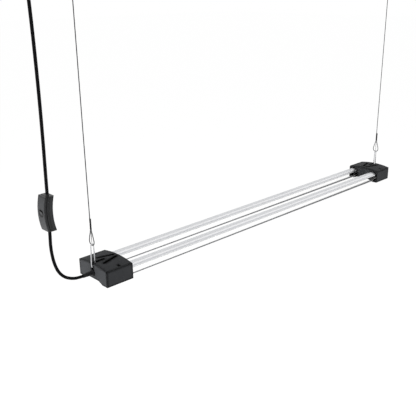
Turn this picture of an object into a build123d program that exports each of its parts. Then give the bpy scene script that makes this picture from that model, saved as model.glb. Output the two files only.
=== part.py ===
from build123d import *
import os
from math import acos, asin, atan2, cos, degrees, pi, radians, sin, sqrt, tan

# Twin-tube LED grow light bar, hung level from two ceiling hooks by steel ropes.
# Millimetres. The origin is on the ceiling, midway between the two hooks.
# +X runs along the bar to the end without the mains lead, +Y across it, +Z up.

# Lamp tubes: an aluminium back over a clear cover, in two straight rows
TUBE_DIA = 26.0
TUBE_LENGTH = 900.0
TUBE_INSERT = 17.0
SINK_WALL = 1.3
SINK_EDGE_ANGLE = 26.2
SINK_GROOVES = 19
SINK_GROOVE_R = 0.35
COVER_WALL = 0.9
SHELF_HEIGHT = 5.0
SHELF_THICK = 1.4
SHELF_HALF_WIDTH = 9.4
COVER_LIP = 0.8
LED_BOARD_WIDTH = 12.0
LED_BOARD_THICK = 1.0
LED_BOARD_SETBACK = 2.5
LED_PITCH = 12.5
LED_SIZE = (3.5, 2.8, 0.7)

# End caps, moulded, one at each end of the bar
CAP_LENGTH = 62.0
CAP_WIDTH = 91.0
CAP_SIDE_TOP = 16.6
CAP_CROWN = 21.4
CAP_FOOT = -16.0
CAP_BELLY = -10.8
BELLY_HALF_WIDTH = 17.5
FOOT_START = 29.5
TUBE_TO_SIDE = 1.5
SIDE_WALL = 1.5
ROOF_WALL = 1.9
END_WALL = 2.2
INNER_WALL = 2.5
COVER_THICK = 1.8
INNER_END_ROUND = 3.0
LONG_EDGE_ROUND = 1.2
OUTER_END_ROUND = 0.6

# Grooves in the top of each cap: two arms of a vee, and a short one behind the hanger slot
GROOVE_WIDTH = 6.0
GROOVE_DEPTH = 3.4
GROOVE_POINT = 52.0
GROOVE_POINT_HALF = 5.2
GROOVE_MOUTH = 17.5
GROOVE_MOUTH_HALF = 15.5
GROOVE_MIDDLE_END = 26.0

# Hanger link, its pin and the slot that it works in
LINK_WIRE = 2.6
LINK_HEIGHT = 48.1
LINK_TOP_R = 3.0
LINK_FOOT_R = 4.4
LINK_INSET = 3.0
LINK_BUTT = 0.6
PIN_DIA = 3.0
PIN_HEIGHT = 14.5
PIN_BOSS = 3.0
SLOT_HALF_WIDTH = 3.2
SLOT_LENGTH = 12.4
SLOT_DROP = 6.6
SLOT_WALL = 1.5

# Screws that close each cap, from the top
SCREW_DIA = 3.0
SCREW_HEAD_DIA = 5.0
SCREW_HEAD_THICK = 2.0
SCREW_TO_HOLDER = 3.2
SCREW_TO_SIDE = 7.5
SCREW_SINK = 2.4
SCREW_LENGTH = 24.0
SLEEVE_DIA = 7.6
SLEEVE_FOOT = 2.0

# Tube holder and end plugs inside each cap
HOLDER_THICK = 3.0
PLUG_FLANGE = 1.0
PLUG_DEPTH = 8.0
CRADLE_WALL = 1.2
WIRE_HOLE_R = 2.6
WIRE_HOLE_DROP = 2.0

# Gland where the mains lead enters the left cap
LEAD_DIA = 6.0
GLAND_BELOW_SLOT = 0.1
GLAND_FLANGE_DIA = 13.0
GLAND_FLANGE_THICK = 2.6
GLAND_NECK_DIA = 9.0
GLAND_COLLAR_DIA = 10.0
GLAND_COLLAR_THICK = 2.6
BOOT_LENGTH = 20.0
BOOT_ROOT_DIA = 9.0
BOOT_TIP_DIA = 7.4

# Driver inside the left cap
BOARD_TO_HOLDER = 1.6
BOARD_TO_SIDE = 12.0
BOARD_THICK = 1.6
BOARD_INSET = 5.4
BOARD_BOTTOM = -8.0
CORE_SIZE = (9.0, 20.0, 14.0)
BOBBIN_SIZE = (16.0, 13.0, 11.5)
TALL_CAN = (10.0, 13.0)
SMALL_CAN = (6.3, 9.0)
FILM_CAPACITOR_SIZE = (13.0, 5.5, 9.5)
CHOKE_RADII = (4.0, 2.6)
TERMINAL_SIZE = (9.0, 15.0, 9.0)
TERMINAL_SCREW_R = 1.7
BOBBIN_TO_EDGE = 3.4
CAN_TO_BOBBIN = 1.0
CAN_TO_EDGE = 0.35
CAN_TO_CAN = 2.35
CORE_STEP = 4.0
CHOKE_TO_EDGE = 0.8
CHOKE_OFFSET = 14.0
FILM_CAPACITOR_PLACE = (22.0, -3.5)
TERMINAL_TO_END = 4.1
TERMINAL_TO_EDGE = 2.5
POST_DIA = 4.0
CORE_DIA = 1.8
CORE_RUN = 2.6
FEED_WIRE_DIA = 1.4
FEED_WIRE_SPREAD = 1.1

# Steel suspension ropes, their crimped loops and the ceiling hooks
ROPE_DIA = 1.8
ROPE_RUN = 392.5
ROPE_END_GAP = 0.3
STRAND_HALF_PITCH = 0.95
FERRULE_LENGTH = 21.5
FERRULE_WIDTH = 4.6
FERRULE_THICK = 2.9
LOOP_R = 7.6
LOWER_LOOP_LENGTH = 32.0
UPPER_LOOP_LENGTH = 48.2
HOOK_WIRE = 4.0
HOOK_DROP = 62.0
HOOK_R = 11.0
HOOK_BEND_R = 4.0
HOOK_SWEEP_PAST_BOTTOM = 112.0
HOOK_COLLAR_DIA = 16.0
HOOK_COLLAR_THICK = 2.5
HOOK_THREAD_DIA = 5.0
HOOK_THREAD_LENGTH = 24.0
HOOK_TIP_LENGTH = 6.0
HANG_GAP = 0.3

# Mains lead: how far its straight run hangs beyond the end of the bar
LEAD_STANDOFF = 79.5
LEAD_PLUG_GAP = 0.9
LEAD_TOP_CHAMFER = 1.1
LEAD_SWITCH_GAP = 0.9
LEAD_FOOT_GAP = 0.2

# In-line rocker switch, bowed towards its rocker
SWITCH_LENGTH = 64.0
SWITCH_WIDTH = 25.0
SWITCH_THICK = 17.0
SWITCH_BOW = 4.5
SWITCH_WALL = 1.6
SWITCH_EDGE_ROUND = 1.6
SWITCH_SEAM_PLACE = 3.4
SWITCH_FORWARD = 2.3
SWITCH_SEAM_WIDTH = 1.5
SWITCH_SEAM_DEPTH = 0.9
ROCKER_LENGTH = 10.5
ROCKER_WIDTH = 11.0
ROCKER_RISE = 1.3
ROCKER_PROUD = 0.9
ROCKER_DISH = 1.0
ROCKER_DEPTH = 7.5
ROCKER_TILT = 7.0
ROCKER_CLEARANCE = 1.0
ROCKER_PIN_DIA = 1.6
ROCKER_PIN_DEPTH = 4.4
SWITCH_SCREW_HALF_PITCH = 21.0

# Plug, standing in a ceiling socket
PLUG_LENGTH = 36.0
PLUG_WIDTH = 27.0
PLUG_THICK = 25.0
PLUG_BOOT_ROOT_DIA = 13.0
BLADE_LENGTH = 17.5
BLADE_WIDTH = 6.3
BLADE_THICK = 1.5
BLADE_HALF_PITCH = 6.35
EARTH_PIN_DIA = 4.8
EARTH_PIN_LEAD = 3.0
EARTH_PIN_OFFSET = 11.9
BLADE_SHIFT = 5.0

# Clearances
SOCKET_GAP = 0.2
FIT_GAP = 0.05
SLIDE_GAP = 0.15

# Places that follow from the sizes above, from the ceiling down
HOOK_Z = -HOOK_DROP
LOOP_SEAT = HOOK_WIRE / 2 + HANG_GAP + ROPE_DIA / 2
UPPER_LOOP_TOP = HOOK_Z + LOOP_SEAT
UPPER_FERRULE_TOP = UPPER_LOOP_TOP - UPPER_LOOP_LENGTH
ROPE_TOP = UPPER_FERRULE_TOP - FERRULE_LENGTH
ROPE_BOTTOM = ROPE_TOP - ROPE_RUN
LOWER_FERRULE_BOTTOM = ROPE_BOTTOM - FERRULE_LENGTH
LOWER_LOOP_BOTTOM = LOWER_FERRULE_BOTTOM - LOWER_LOOP_LENGTH
LINK_TOP = LOWER_LOOP_BOTTOM + ROPE_DIA / 2 + HANG_GAP + LINK_WIRE / 2
LINK_BOTTOM = LINK_TOP - LINK_HEIGHT
PIN_Z = LINK_BOTTOM + LINK_WIRE / 2 + HANG_GAP + PIN_DIA / 2
AXIS_Z = PIN_Z - PIN_HEIGHT
BAR_LENGTH = TUBE_LENGTH + 2 * (CAP_LENGTH - TUBE_INSERT)
BAR_END = BAR_LENGTH / 2
HANG_X = BAR_END - LINK_INSET
TUBE_R = TUBE_DIA / 2
TUBE_END = TUBE_LENGTH / 2
TUBE_Y = CAP_WIDTH / 2 - TUBE_TO_SIDE - TUBE_R
INNER_HALF_WIDTH = CAP_WIDTH / 2 - SIDE_WALL
HOLDER_OUTER = CAP_LENGTH - TUBE_INSERT - PLUG_FLANGE - HOLDER_THICK
SCREW_INSET = HOLDER_OUTER - SCREW_TO_HOLDER - SLEEVE_DIA / 2
SCREW_HALF_PITCH = CAP_WIDTH / 2 - SCREW_TO_SIDE
BOARD_LENGTH = HOLDER_OUTER - BOARD_TO_HOLDER - BOARD_INSET
BOARD_HALF_WIDTH = INNER_HALF_WIDTH - BOARD_TO_SIDE
BOARD_END = BOARD_INSET + BOARD_LENGTH
BOARD_TOP = BOARD_BOTTOM + BOARD_THICK
# The lead's straight run is as long as the ropes and starts level with the hooks,
# so lead and ropes stay parallel when the bar sways.
LEAD_X = -BAR_END - LEAD_STANDOFF
LEAD_TOP = HOOK_Z
SWITCH_TOP = LEAD_TOP - ROPE_RUN
SWITCH_Z = SWITCH_TOP - SWITCH_LENGTH / 2
SWITCH_BOTTOM = SWITCH_TOP - SWITCH_LENGTH
SWITCH_X = LEAD_X - SWITCH_FORWARD
SLOT_FLOOR = PIN_HEIGHT - SLOT_DROP
GLAND_HEIGHT = SLOT_FLOOR - SLOT_WALL - GLAND_COLLAR_DIA / 2 - GLAND_BELOW_SLOT
GLAND_Z = AXIS_Z + GLAND_HEIGHT

# Mains lead's lower stretch: (outwards from the left end face, height above the gland)
LEAD_LOWER_ROUTE = [
    (35.0, 0.2),
    (49.0, 4.4),
    (62.0, 12.0),
    (72.6, 25.3),
    (79.1, 43.9),
    (82.2, 64.0),
    (83.0, 83.0),
    (82.0, 98.5),
]
# Mains lead's upper stretch: (outwards from the left end face, height above the switch)
LEAD_UPPER_ROUTE = [
    (78.9, 33.0),
    (77.4, 88.0),
    (76.3, 160.0),
    (76.2, 238.0),
    (77.2, 318.0),
]


def at_left_end(x_inwards, y, z):
    """A point measured inwards from the left cap's end face and up from the tube axis."""
    return (-BAR_END + x_inwards, y, AXIS_Z + z)


def mirrored(shape):
    """The same piece at the other end of the bar."""
    return mirror(shape, about=Plane.YZ)


def box_between(low, high):
    """A box from its lowest to its highest corner."""
    size = [b - a for a, b in zip(low, high)]
    middle = [(a + b) / 2 for a, b in zip(low, high)]
    return Pos(*middle) * Box(*size)


def cap_box(x_range, y_range, z_range):
    """A box in the left cap's own terms: inwards, across, up from the tube axis."""
    return box_between(
        at_left_end(x_range[0], y_range[0], z_range[0]),
        at_left_end(x_range[1], y_range[1], z_range[1]),
    )


def rod_x(x0, x1, y, z, radius):
    """A round rod along X."""
    return Pos((x0 + x1) / 2, y, z) * Rot(0, 90, 0) * Cylinder(radius, x1 - x0)


def rod_y(x, y0, y1, z, radius):
    """A round rod along Y."""
    return Pos(x, (y0 + y1) / 2, z) * Rot(90, 0, 0) * Cylinder(radius, y1 - y0)


def rod_z(x, y, z0, z1, radius):
    """A round rod along Z."""
    return Pos(x, y, (z0 + z1) / 2) * Cylinder(radius, z1 - z0)


def wire_along(path, diameter):
    """A round wire swept along a path."""
    start = Plane(origin=path @ 0, z_dir=path % 0)
    return sweep(start * Circle(diameter / 2), path=path)


def corner_radii(points):
    """Each bend's radius: 0.45 of its shorter run over the tangent of half its turn."""
    radii = []
    for before, here, after in zip(points, points[1:], points[2:]):
        run_in = Vector(*here) - Vector(*before)
        run_out = Vector(*after) - Vector(*here)
        turn = radians(run_in.get_angle(run_out))
        shorter = min(run_in.length, run_out.length)
        radii.append(0.45 * shorter / tan(turn / 2))
    return radii


def cord(name, points, diameter):
    """A round cord along straight runs and tangent arcs; prints how tight it bends."""
    radii = corner_radii(points)
    path = FilletPolyline(*points, radius=radii)
    solid = wire_along(path, diameter)
    section = pi * diameter**2 / 4
    share = solid.volume / (section * path.length)
    listed = ", ".join(f"{r:.0f}" for r in radii)
    print(f"{name}: {path.length:.1f} mm long, bend radii {listed}, volume share {share:.4f}")
    return solid


# Lamp tubes
def sink_section():
    """Cross-section of the aluminium back, with its board shelf and fine grooves."""
    edge_z = TUBE_R * sin(radians(SINK_EDGE_ANGLE))
    ring = Circle(TUBE_R) - Circle(TUBE_R - SINK_WALL)
    upper = Pos(0, edge_z + TUBE_R) * Rectangle(2 * TUBE_R, 2 * TUBE_R)
    shelf_top = SHELF_HEIGHT + SHELF_THICK
    shelf = Pos(0, (SHELF_HEIGHT + shelf_top) / 2) * Rectangle(2 * SHELF_HALF_WIDTH, SHELF_THICK)
    web_half = sqrt((TUBE_R - SINK_WALL / 2) ** 2 - shelf_top**2)
    web = Pos(0, (edge_z + shelf_top) / 2) * Rectangle(2 * web_half, shelf_top - edge_z)
    section = (ring & upper) + shelf + web
    first = SINK_EDGE_ANGLE + 9
    step = (180 - 2 * first) / (SINK_GROOVES - 1)
    for index in range(SINK_GROOVES):
        angle = radians(first + index * step)
        section -= Pos(TUBE_R * cos(angle), TUBE_R * sin(angle)) * Circle(SINK_GROOVE_R)
    return section


def cover_section():
    """Cross-section of the clear cover, with the two lips that clip under the aluminium."""
    edge_z = TUBE_R * sin(radians(SINK_EDGE_ANGLE)) - SLIDE_GAP
    ring = Circle(TUBE_R) - Circle(TUBE_R - COVER_WALL)
    lower = Pos(0, edge_z - TUBE_R) * Rectangle(2 * TUBE_R, 2 * TUBE_R)
    section = ring & lower
    lip_in = SHELF_HALF_WIDTH + SLIDE_GAP
    lip_out = sqrt((TUBE_R - COVER_WALL / 2) ** 2 - edge_z**2)
    for side in (-1, 1):
        middle = side * (lip_in + lip_out) / 2
        section += Pos(middle, edge_z - COVER_LIP / 2) * Rectangle(lip_out - lip_in, COVER_LIP)
    return section


def along_tube(section, y, setback=0.0):
    """Extrudes a tube's section over the tube's length."""
    half = TUBE_END - setback
    plane = Plane(origin=(-half, y, AXIS_Z), x_dir=(0, 1, 0), z_dir=(1, 0, 0))
    return extrude(plane * section, amount=2 * half)


def led_board(y):
    """The board strip under the shelf."""
    top = AXIS_Z + SHELF_HEIGHT
    half = TUBE_END - LED_BOARD_SETBACK
    return box_between(
        (-half, y - LED_BOARD_WIDTH / 2, top - LED_BOARD_THICK),
        (half, y + LED_BOARD_WIDTH / 2, top),
    )


def leds(y):
    """The row of light-emitting diodes on one board, facing down."""
    top = AXIS_Z + SHELF_HEIGHT - LED_BOARD_THICK
    usable = 2 * (TUBE_END - CAP_LENGTH + TUBE_INSERT)
    count = int(usable // LED_PITCH)
    first = -(count - 1) * LED_PITCH / 2
    body = Box(*LED_SIZE)
    return [Pos(first + i * LED_PITCH, y, top - LED_SIZE[2] / 2) * body for i in range(count)]


# End caps
def cap_outline():
    """Outline of a cap seen from the end: arched top, upright sides, two feet."""
    half = CAP_WIDTH / 2
    top = ThreePointArc((-half, CAP_SIDE_TOP), (0, CAP_CROWN), (half, CAP_SIDE_TOP))
    rest = Polyline(
        (half, CAP_SIDE_TOP),
        (half, CAP_FOOT),
        (FOOT_START, CAP_FOOT),
        (BELLY_HALF_WIDTH, CAP_BELLY),
        (-BELLY_HALF_WIDTH, CAP_BELLY),
        (-FOOT_START, CAP_FOOT),
        (-half, CAP_FOOT),
        (-half, CAP_SIDE_TOP),
    )
    return make_face(top + rest)


def cap_hollow_outline():
    """Outline of the room inside a cap, open towards the floor."""
    half = INNER_HALF_WIDTH
    side_top = CAP_SIDE_TOP - ROOF_WALL
    top = ThreePointArc((-half, side_top), (0, CAP_CROWN - ROOF_WALL), (half, side_top))
    below = CAP_FOOT - COVER_THICK
    rest = Polyline((half, side_top), (half, below), (-half, below), (-half, side_top))
    return make_face(top + rest)


def cap_floor_outline():
    """Outline of the cap's bottom cover, seen from the end."""
    half = INNER_HALF_WIDTH - SLIDE_GAP
    lower = [
        (half, CAP_FOOT),
        (FOOT_START, CAP_FOOT),
        (BELLY_HALF_WIDTH, CAP_BELLY),
        (-BELLY_HALF_WIDTH, CAP_BELLY),
        (-FOOT_START, CAP_FOOT),
        (-half, CAP_FOOT),
    ]
    upper = [(y, z + COVER_THICK) for y, z in reversed(lower)]
    return make_face(Polyline(*lower, *upper, lower[0]))


def along_cap(outline, x_from, x_to):
    """Extrudes an outline inwards through the left cap."""
    plane = Plane(origin=at_left_end(x_from, 0, 0), x_dir=(0, 1, 0), z_dir=(1, 0, 0))
    return extrude(plane * outline, amount=x_to - x_from)


def roof_grooves(width, z_low, z_high):
    """The vee's two arms and the middle groove as upright slots between two heights."""
    lines = [((SLOT_LENGTH, 0), (GROOVE_MIDDLE_END, 0))]
    for side in (-1, 1):
        mouth_y, point_y = side * GROOVE_MOUTH_HALF, side * GROOVE_POINT_HALF
        lines.append(((GROOVE_MOUTH, mouth_y), (GROOVE_POINT, point_y)))
    grooves = []
    for (x_mouth, y_mouth), (x_point, y_point) in lines:
        mouth = Vector(*at_left_end(x_mouth, y_mouth, 0))
        point = Vector(*at_left_end(x_point, y_point, 0))
        run = point - mouth
        middle = (mouth + point) * 0.5
        turn = degrees(atan2(run.Y, run.X))
        slot = SlotCenterToCenter(run.length, width)
        placed = Pos(middle.X, middle.Y, AXIS_Z + z_low) * Rot(0, 0, turn) * slot
        grooves.append(extrude(placed, amount=z_high - z_low))
    return grooves


def crown_at(y):
    """Height of a cap's arched top above the tube axis, at a distance across."""
    half = CAP_WIDTH / 2
    rise = CAP_CROWN - CAP_SIDE_TOP
    radius = (half**2 + rise**2) / (2 * rise)
    return CAP_CROWN - radius + sqrt(radius**2 - y**2)


def cap_block():
    """The cap's outer form with its rounded edges."""
    block = along_cap(cap_outline(), 0, CAP_LENGTH)
    inner_x = -BAR_END + CAP_LENGTH
    outer_x = -BAR_END
    side_top = AXIS_Z + CAP_SIDE_TOP
    half = CAP_WIDTH / 2
    edges = block.edges()
    crown_edges = [e for e in edges if abs((e @ 0.5).Z - (AXIS_Z + CAP_CROWN)) < 0.01]
    inner_crown = [e for e in crown_edges if abs((e @ 0.5).X - inner_x) < 0.01]
    block = fillet(inner_crown, INNER_END_ROUND)
    long_edges = [
        e
        for e in block.edges()
        if abs(abs((e @ 0.5).Y) - half) < 0.01 and abs((e @ 0.5).Z - side_top) < 0.01
    ]
    block = fillet(long_edges, LONG_EDGE_ROUND)
    outer_edges = [
        e
        for e in block.edges()
        if abs((e @ 0).X - outer_x) < 0.01 and abs((e @ 1).X - outer_x) < 0.01
    ]
    return fillet(outer_edges, OUTER_END_ROUND)


def cap_hollow():
    """The room inside the cap, less the moulding under the groove, slot and screws."""
    hollow = along_cap(cap_hollow_outline(), END_WALL, CAP_LENGTH - INNER_WALL)
    under_groove = CAP_CROWN - GROOVE_DEPTH - ROOF_WALL
    for groove in roof_grooves(GROOVE_WIDTH + 2 * ROOF_WALL, under_groove, CAP_CROWN):
        hollow -= groove
    slot_low = SLOT_FLOOR - SLOT_WALL
    boss_half = SLOT_HALF_WIDTH + PIN_BOSS
    hollow -= cap_box((0, SLOT_LENGTH + SLOT_WALL), (-boss_half, boss_half), (slot_low, CAP_CROWN))
    for side in (-1, 1):
        x, y, _ = at_left_end(SCREW_INSET, side * SCREW_HALF_PITCH, 0)
        hollow -= rod_z(x, y, AXIS_Z + SLEEVE_FOOT, AXIS_Z + CAP_CROWN, SLEEVE_DIA / 2)
    return hollow


def cap_shell():
    """A left cap's shell: top, sides, both end walls, groove, hanger slot and screw wells."""
    shell = cap_block() - cap_hollow()
    for groove in roof_grooves(GROOVE_WIDTH, CAP_CROWN - GROOVE_DEPTH, CAP_CROWN + 1):
        shell -= groove
    slot_y = (-SLOT_HALF_WIDTH, SLOT_HALF_WIDTH)
    shell -= cap_box((-1, SLOT_LENGTH), slot_y, (SLOT_FLOOR, CAP_CROWN + 1))
    pin_half = SLOT_HALF_WIDTH + PIN_BOSS - 1
    pin_x, _, pin_z = at_left_end(LINK_INSET, 0, PIN_HEIGHT)
    shell -= rod_y(pin_x, -pin_half, pin_half, pin_z, PIN_DIA / 2 + FIT_GAP)
    for side in (-1, 1):
        hole_x = (-BAR_END + CAP_LENGTH - INNER_WALL - 1, -BAR_END + CAP_LENGTH + 1)
        shell -= rod_x(*hole_x, side * TUBE_Y, AXIS_Z, TUBE_R + SOCKET_GAP)
        x, y, top = at_left_end(SCREW_INSET, side * SCREW_HALF_PITCH, crown_at(SCREW_HALF_PITCH))
        seat = top - SCREW_SINK - SCREW_HEAD_THICK
        shell -= rod_z(x, y, seat, top + 2, SCREW_HEAD_DIA / 2 + SLIDE_GAP)
        shell -= rod_z(x, y, AXIS_Z + SLEEVE_FOOT - 1, seat + 1, SCREW_DIA / 2 + SLIDE_GAP)
    return shell


def with_gland_hole(shell):
    """Cuts the lead's entry through the end wall."""
    x0 = -BAR_END - 1
    return shell - rod_x(x0, x0 + END_WALL + 2, 0, GLAND_Z, GLAND_NECK_DIA / 2 + FIT_GAP)


def cap_floor(board_posts):
    """The bottom cover of a left cap, with the pillars that take its screws."""
    x_from = END_WALL + SLIDE_GAP
    x_to = CAP_LENGTH - INNER_WALL - SLIDE_GAP
    floor = along_cap(cap_floor_outline(), x_from, x_to)
    for side in (-1, 1):
        x, y, _ = at_left_end(SCREW_INSET, side * SCREW_HALF_PITCH, 0)
        floor_top = AXIS_Z + CAP_FOOT + COVER_THICK / 2
        floor += rod_z(x, y, floor_top, AXIS_Z + SLEEVE_FOOT, SLEEVE_DIA / 2)
        screw_end = screw_seat() - SCREW_LENGTH - 0.5
        hole_end = AXIS_Z + SLEEVE_FOOT + 1
        floor -= rod_z(x, y, screw_end, hole_end, SCREW_DIA / 2 + FIT_GAP)
    if board_posts:
        for x_in in (BOARD_INSET + POST_DIA, BOARD_END - POST_DIA):
            for y in (-0.7 * BELLY_HALF_WIDTH, 0.7 * BELLY_HALF_WIDTH):
                x, _, _ = at_left_end(x_in, y, 0)
                post_foot = AXIS_Z + CAP_BELLY + COVER_THICK / 2
                floor += rod_z(x, y, post_foot, AXIS_Z + BOARD_BOTTOM, POST_DIA / 2)
    return floor


def screw_seat():
    """Height of the underside of a cap screw's head."""
    return AXIS_Z + crown_at(SCREW_HALF_PITCH) - SCREW_SINK - SCREW_HEAD_THICK


def cross_screw(x, y, seat, length, head_dia, head_thick, shank_dia):
    """A pan-head screw pointing down, with a cross recess."""
    head = rod_z(x, y, seat, seat + head_thick, head_dia / 2)
    head = fillet(head.edges().group_by(Axis.Z)[-1], 0.3 * head_thick)
    for turn in (0, 90):
        bar = Box(0.6 * head_dia, 0.18 * head_dia, head_thick)
        head -= Pos(x, y, seat + head_thick) * Rot(0, 0, turn) * bar
    return head + rod_z(x, y, seat - length, seat, shank_dia / 2)


def cap_screws():
    """Both screws of a left cap."""
    screws = []
    for side in (-1, 1):
        x, y, _ = at_left_end(SCREW_INSET, side * SCREW_HALF_PITCH, 0)
        shape = (SCREW_LENGTH, SCREW_HEAD_DIA, SCREW_HEAD_THICK, SCREW_DIA)
        screws.append(cross_screw(x, y, screw_seat(), *shape))
    return screws


def tube_holder():
    """The carrier across a cap: a plate behind the tube ends with a cradle under each tube."""
    half = INNER_HALF_WIDTH - SLIDE_GAP
    low = CAP_FOOT + COVER_THICK + SLIDE_GAP
    plate_x = (HOLDER_OUTER, HOLDER_OUTER + HOLDER_THICK)
    belly_low = CAP_BELLY + COVER_THICK + SLIDE_GAP
    holder = cap_box(plate_x, (-half, half), (belly_low, TUBE_R))
    cradle_end = CAP_LENGTH - INNER_WALL - SLIDE_GAP
    for side in (-1, 1):
        x0 = -BAR_END + HOLDER_OUTER
        x1 = -BAR_END + cradle_end
        outer = rod_x(x0, x1, side * TUBE_Y, AXIS_Z, TUBE_R + SOCKET_GAP + CRADLE_WALL)
        bore_x0 = x0 + HOLDER_THICK
        bore = rod_x(bore_x0, x1, side * TUBE_Y, AXIS_Z, TUBE_R + SOCKET_GAP)
        band_y = sorted((side * (FOOT_START - 4), side * half))
        band = cap_box((HOLDER_OUTER, cradle_end), band_y, (low, -0.5 * TUBE_R))
        holder += (outer & band) - bore
        holder -= rod_x(x0 - 1, x1, side * TUBE_Y, AXIS_Z - WIRE_HOLE_DROP, WIRE_HOLE_R)
    floor_room = Pos(0, SLIDE_GAP) * cap_floor_outline()
    return holder - along_cap(floor_room, HOLDER_OUTER - 1, CAP_LENGTH)


def end_plugs():
    """The two plugs that close the tubes' ends in a left cap, with a hole for the wires."""
    plugs = []
    tube_end = -BAR_END + CAP_LENGTH - TUBE_INSERT
    bore_r = TUBE_R - COVER_WALL - SLIDE_GAP
    top = SHELF_HEIGHT - LED_BOARD_THICK - LED_SIZE[2] - SLIDE_GAP
    for side in (-1, 1):
        y = side * TUBE_Y
        flange = rod_x(tube_end - PLUG_FLANGE, tube_end, y, AXIS_Z, TUBE_R - FIT_GAP)
        body = rod_x(tube_end - PLUG_FLANGE / 2, tube_end + PLUG_DEPTH, y, AXIS_Z, bore_r)
        room_low = (tube_end - PLUG_FLANGE, y - TUBE_R, AXIS_Z - TUBE_R)
        room_high = (tube_end + PLUG_DEPTH, y + TUBE_R, AXIS_Z + top)
        plug = flange + (body & box_between(room_low, room_high))
        hole_z = AXIS_Z - WIRE_HOLE_DROP
        hole_x = (tube_end - PLUG_FLANGE - 1, tube_end + PLUG_DEPTH + 1)
        plugs.append(plug - rod_x(*hole_x, y, hole_z, WIRE_HOLE_R))
    return plugs


# Driver and its wiring, in the left cap
def driver_board():
    """The driver's circuit board."""
    y = BOARD_HALF_WIDTH
    return cap_box((BOARD_INSET, BOARD_END), (-y, y), (BOARD_BOTTOM, BOARD_TOP))


def on_board(x_middle, y_middle, size):
    """A box-shaped component standing on the driver board."""
    length, width, height = size
    return cap_box(
        (x_middle - length / 2, x_middle + length / 2),
        (y_middle - width / 2, y_middle + width / 2),
        (BOARD_TOP, BOARD_TOP + height),
    )


def can_on_board(x_middle, y_middle, size):
    """A round component standing on the driver board."""
    diameter, height = size
    x, y, z0 = at_left_end(x_middle, y_middle, BOARD_TOP)
    can = rod_z(x, y, z0, z0 + height, diameter / 2)
    return fillet(can.edges().group_by(Axis.Z)[-1], 0.05 * diameter)


BOBBIN_X = BOARD_END - BOBBIN_TO_EDGE - BOBBIN_SIZE[0] / 2
CAN_X = BOBBIN_X - BOBBIN_SIZE[0] / 2 - CAN_TO_BOBBIN - TALL_CAN[0] / 2
SMALL_CAN_Y = BOARD_HALF_WIDTH - CAN_TO_EDGE - SMALL_CAN[0] / 2
TALL_CAN_Y = SMALL_CAN_Y - SMALL_CAN[0] / 2 - CAN_TO_CAN - TALL_CAN[0] / 2
BOBBIN_Y = TALL_CAN_Y - CORE_STEP
CHOKE_X = BOARD_END - CHOKE_TO_EDGE - sum(CHOKE_RADII)
TERMINAL_X = BOARD_INSET + TERMINAL_TO_END + TERMINAL_SIZE[0] / 2
TERMINAL_Y = -BOARD_HALF_WIDTH + TERMINAL_TO_EDGE + TERMINAL_SIZE[1] / 2


def driver_transformer():
    """Ferrite core round a wound bobbin."""
    return on_board(BOBBIN_X, BOBBIN_Y, CORE_SIZE) + on_board(BOBBIN_X, BOBBIN_Y, BOBBIN_SIZE)


def driver_capacitors():
    """Two electrolytic cans and a film capacitor."""
    return [
        can_on_board(CAN_X, TALL_CAN_Y, TALL_CAN),
        can_on_board(CAN_X, SMALL_CAN_Y, SMALL_CAN),
        on_board(*FILM_CAPACITOR_PLACE, FILM_CAPACITOR_SIZE),
    ]


def driver_choke():
    """Wound ring core, lying on the board."""
    x, y, z0 = at_left_end(CHOKE_X, -CHOKE_OFFSET, BOARD_TOP)
    ring_r, wound_r = CHOKE_RADII
    return Pos(x, y, z0 + wound_r) * Torus(ring_r, wound_r)


def terminal_block():
    """Three-way block that takes the lead's cores."""
    block = on_board(TERMINAL_X, TERMINAL_Y, TERMINAL_SIZE)
    for step in (-1, 0, 1):
        y_way = TERMINAL_Y + step * TERMINAL_SIZE[1] / 3
        x, y, top = at_left_end(TERMINAL_X, y_way, BOARD_TOP + TERMINAL_SIZE[2])
        block -= rod_z(x, y, top - 1.5 * TERMINAL_SCREW_R, top + 1, TERMINAL_SCREW_R)
    return block


def mains_cores():
    """The lead's three cores, from the gland to the terminal block."""
    cores = []
    face_x = TERMINAL_X - TERMINAL_SIZE[0] / 2
    start_x = END_WALL + GLAND_COLLAR_THICK
    z_end = BOARD_TOP + 0.4 * TERMINAL_SIZE[2]
    for step in (-1, 0, 1):
        y_start = step * CORE_DIA * 1.1
        y_end = TERMINAL_Y + step * TERMINAL_SIZE[1] / 3
        points = [
            at_left_end(start_x, y_start, GLAND_HEIGHT),
            at_left_end(start_x + CORE_RUN, y_start, GLAND_HEIGHT),
            at_left_end(face_x - CORE_RUN, y_end, z_end),
            at_left_end(face_x, y_end, z_end),
        ]
        path = FilletPolyline(*points, radius=corner_radii(points))
        cores.append(wire_along(path, CORE_DIA))
    return cores


def feed_wires():
    """A pair of wires to each tube, from the driver board through holder and plug."""
    wires = []
    tube_end = CAP_LENGTH - TUBE_INSERT
    z_board = BOARD_TOP + FEED_WIRE_DIA
    z_led_board = SHELF_HEIGHT - LED_BOARD_THICK - 0.6 * FEED_WIRE_DIA
    for side in (-1, 1):
        for step in (-1, 1):
            y_board = side * (BOARD_HALF_WIDTH - 2 * FEED_WIRE_DIA) + step * FEED_WIRE_SPREAD
            y_tube = side * TUBE_Y + step * FEED_WIRE_SPREAD
            points = [
                at_left_end(HOLDER_OUTER - 9, y_board, z_board),
                at_left_end(HOLDER_OUTER - 6, y_board, z_board),
                at_left_end(HOLDER_OUTER - 1.5, y_tube, -WIRE_HOLE_DROP),
                at_left_end(tube_end + PLUG_DEPTH, y_tube, -WIRE_HOLE_DROP),
                at_left_end(tube_end + PLUG_DEPTH + 6, y_tube, z_led_board),
            ]
            path = FilletPolyline(*points, radius=corner_radii(points))
            wires.append(wire_along(path, FEED_WIRE_DIA))
    return wires


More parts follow.
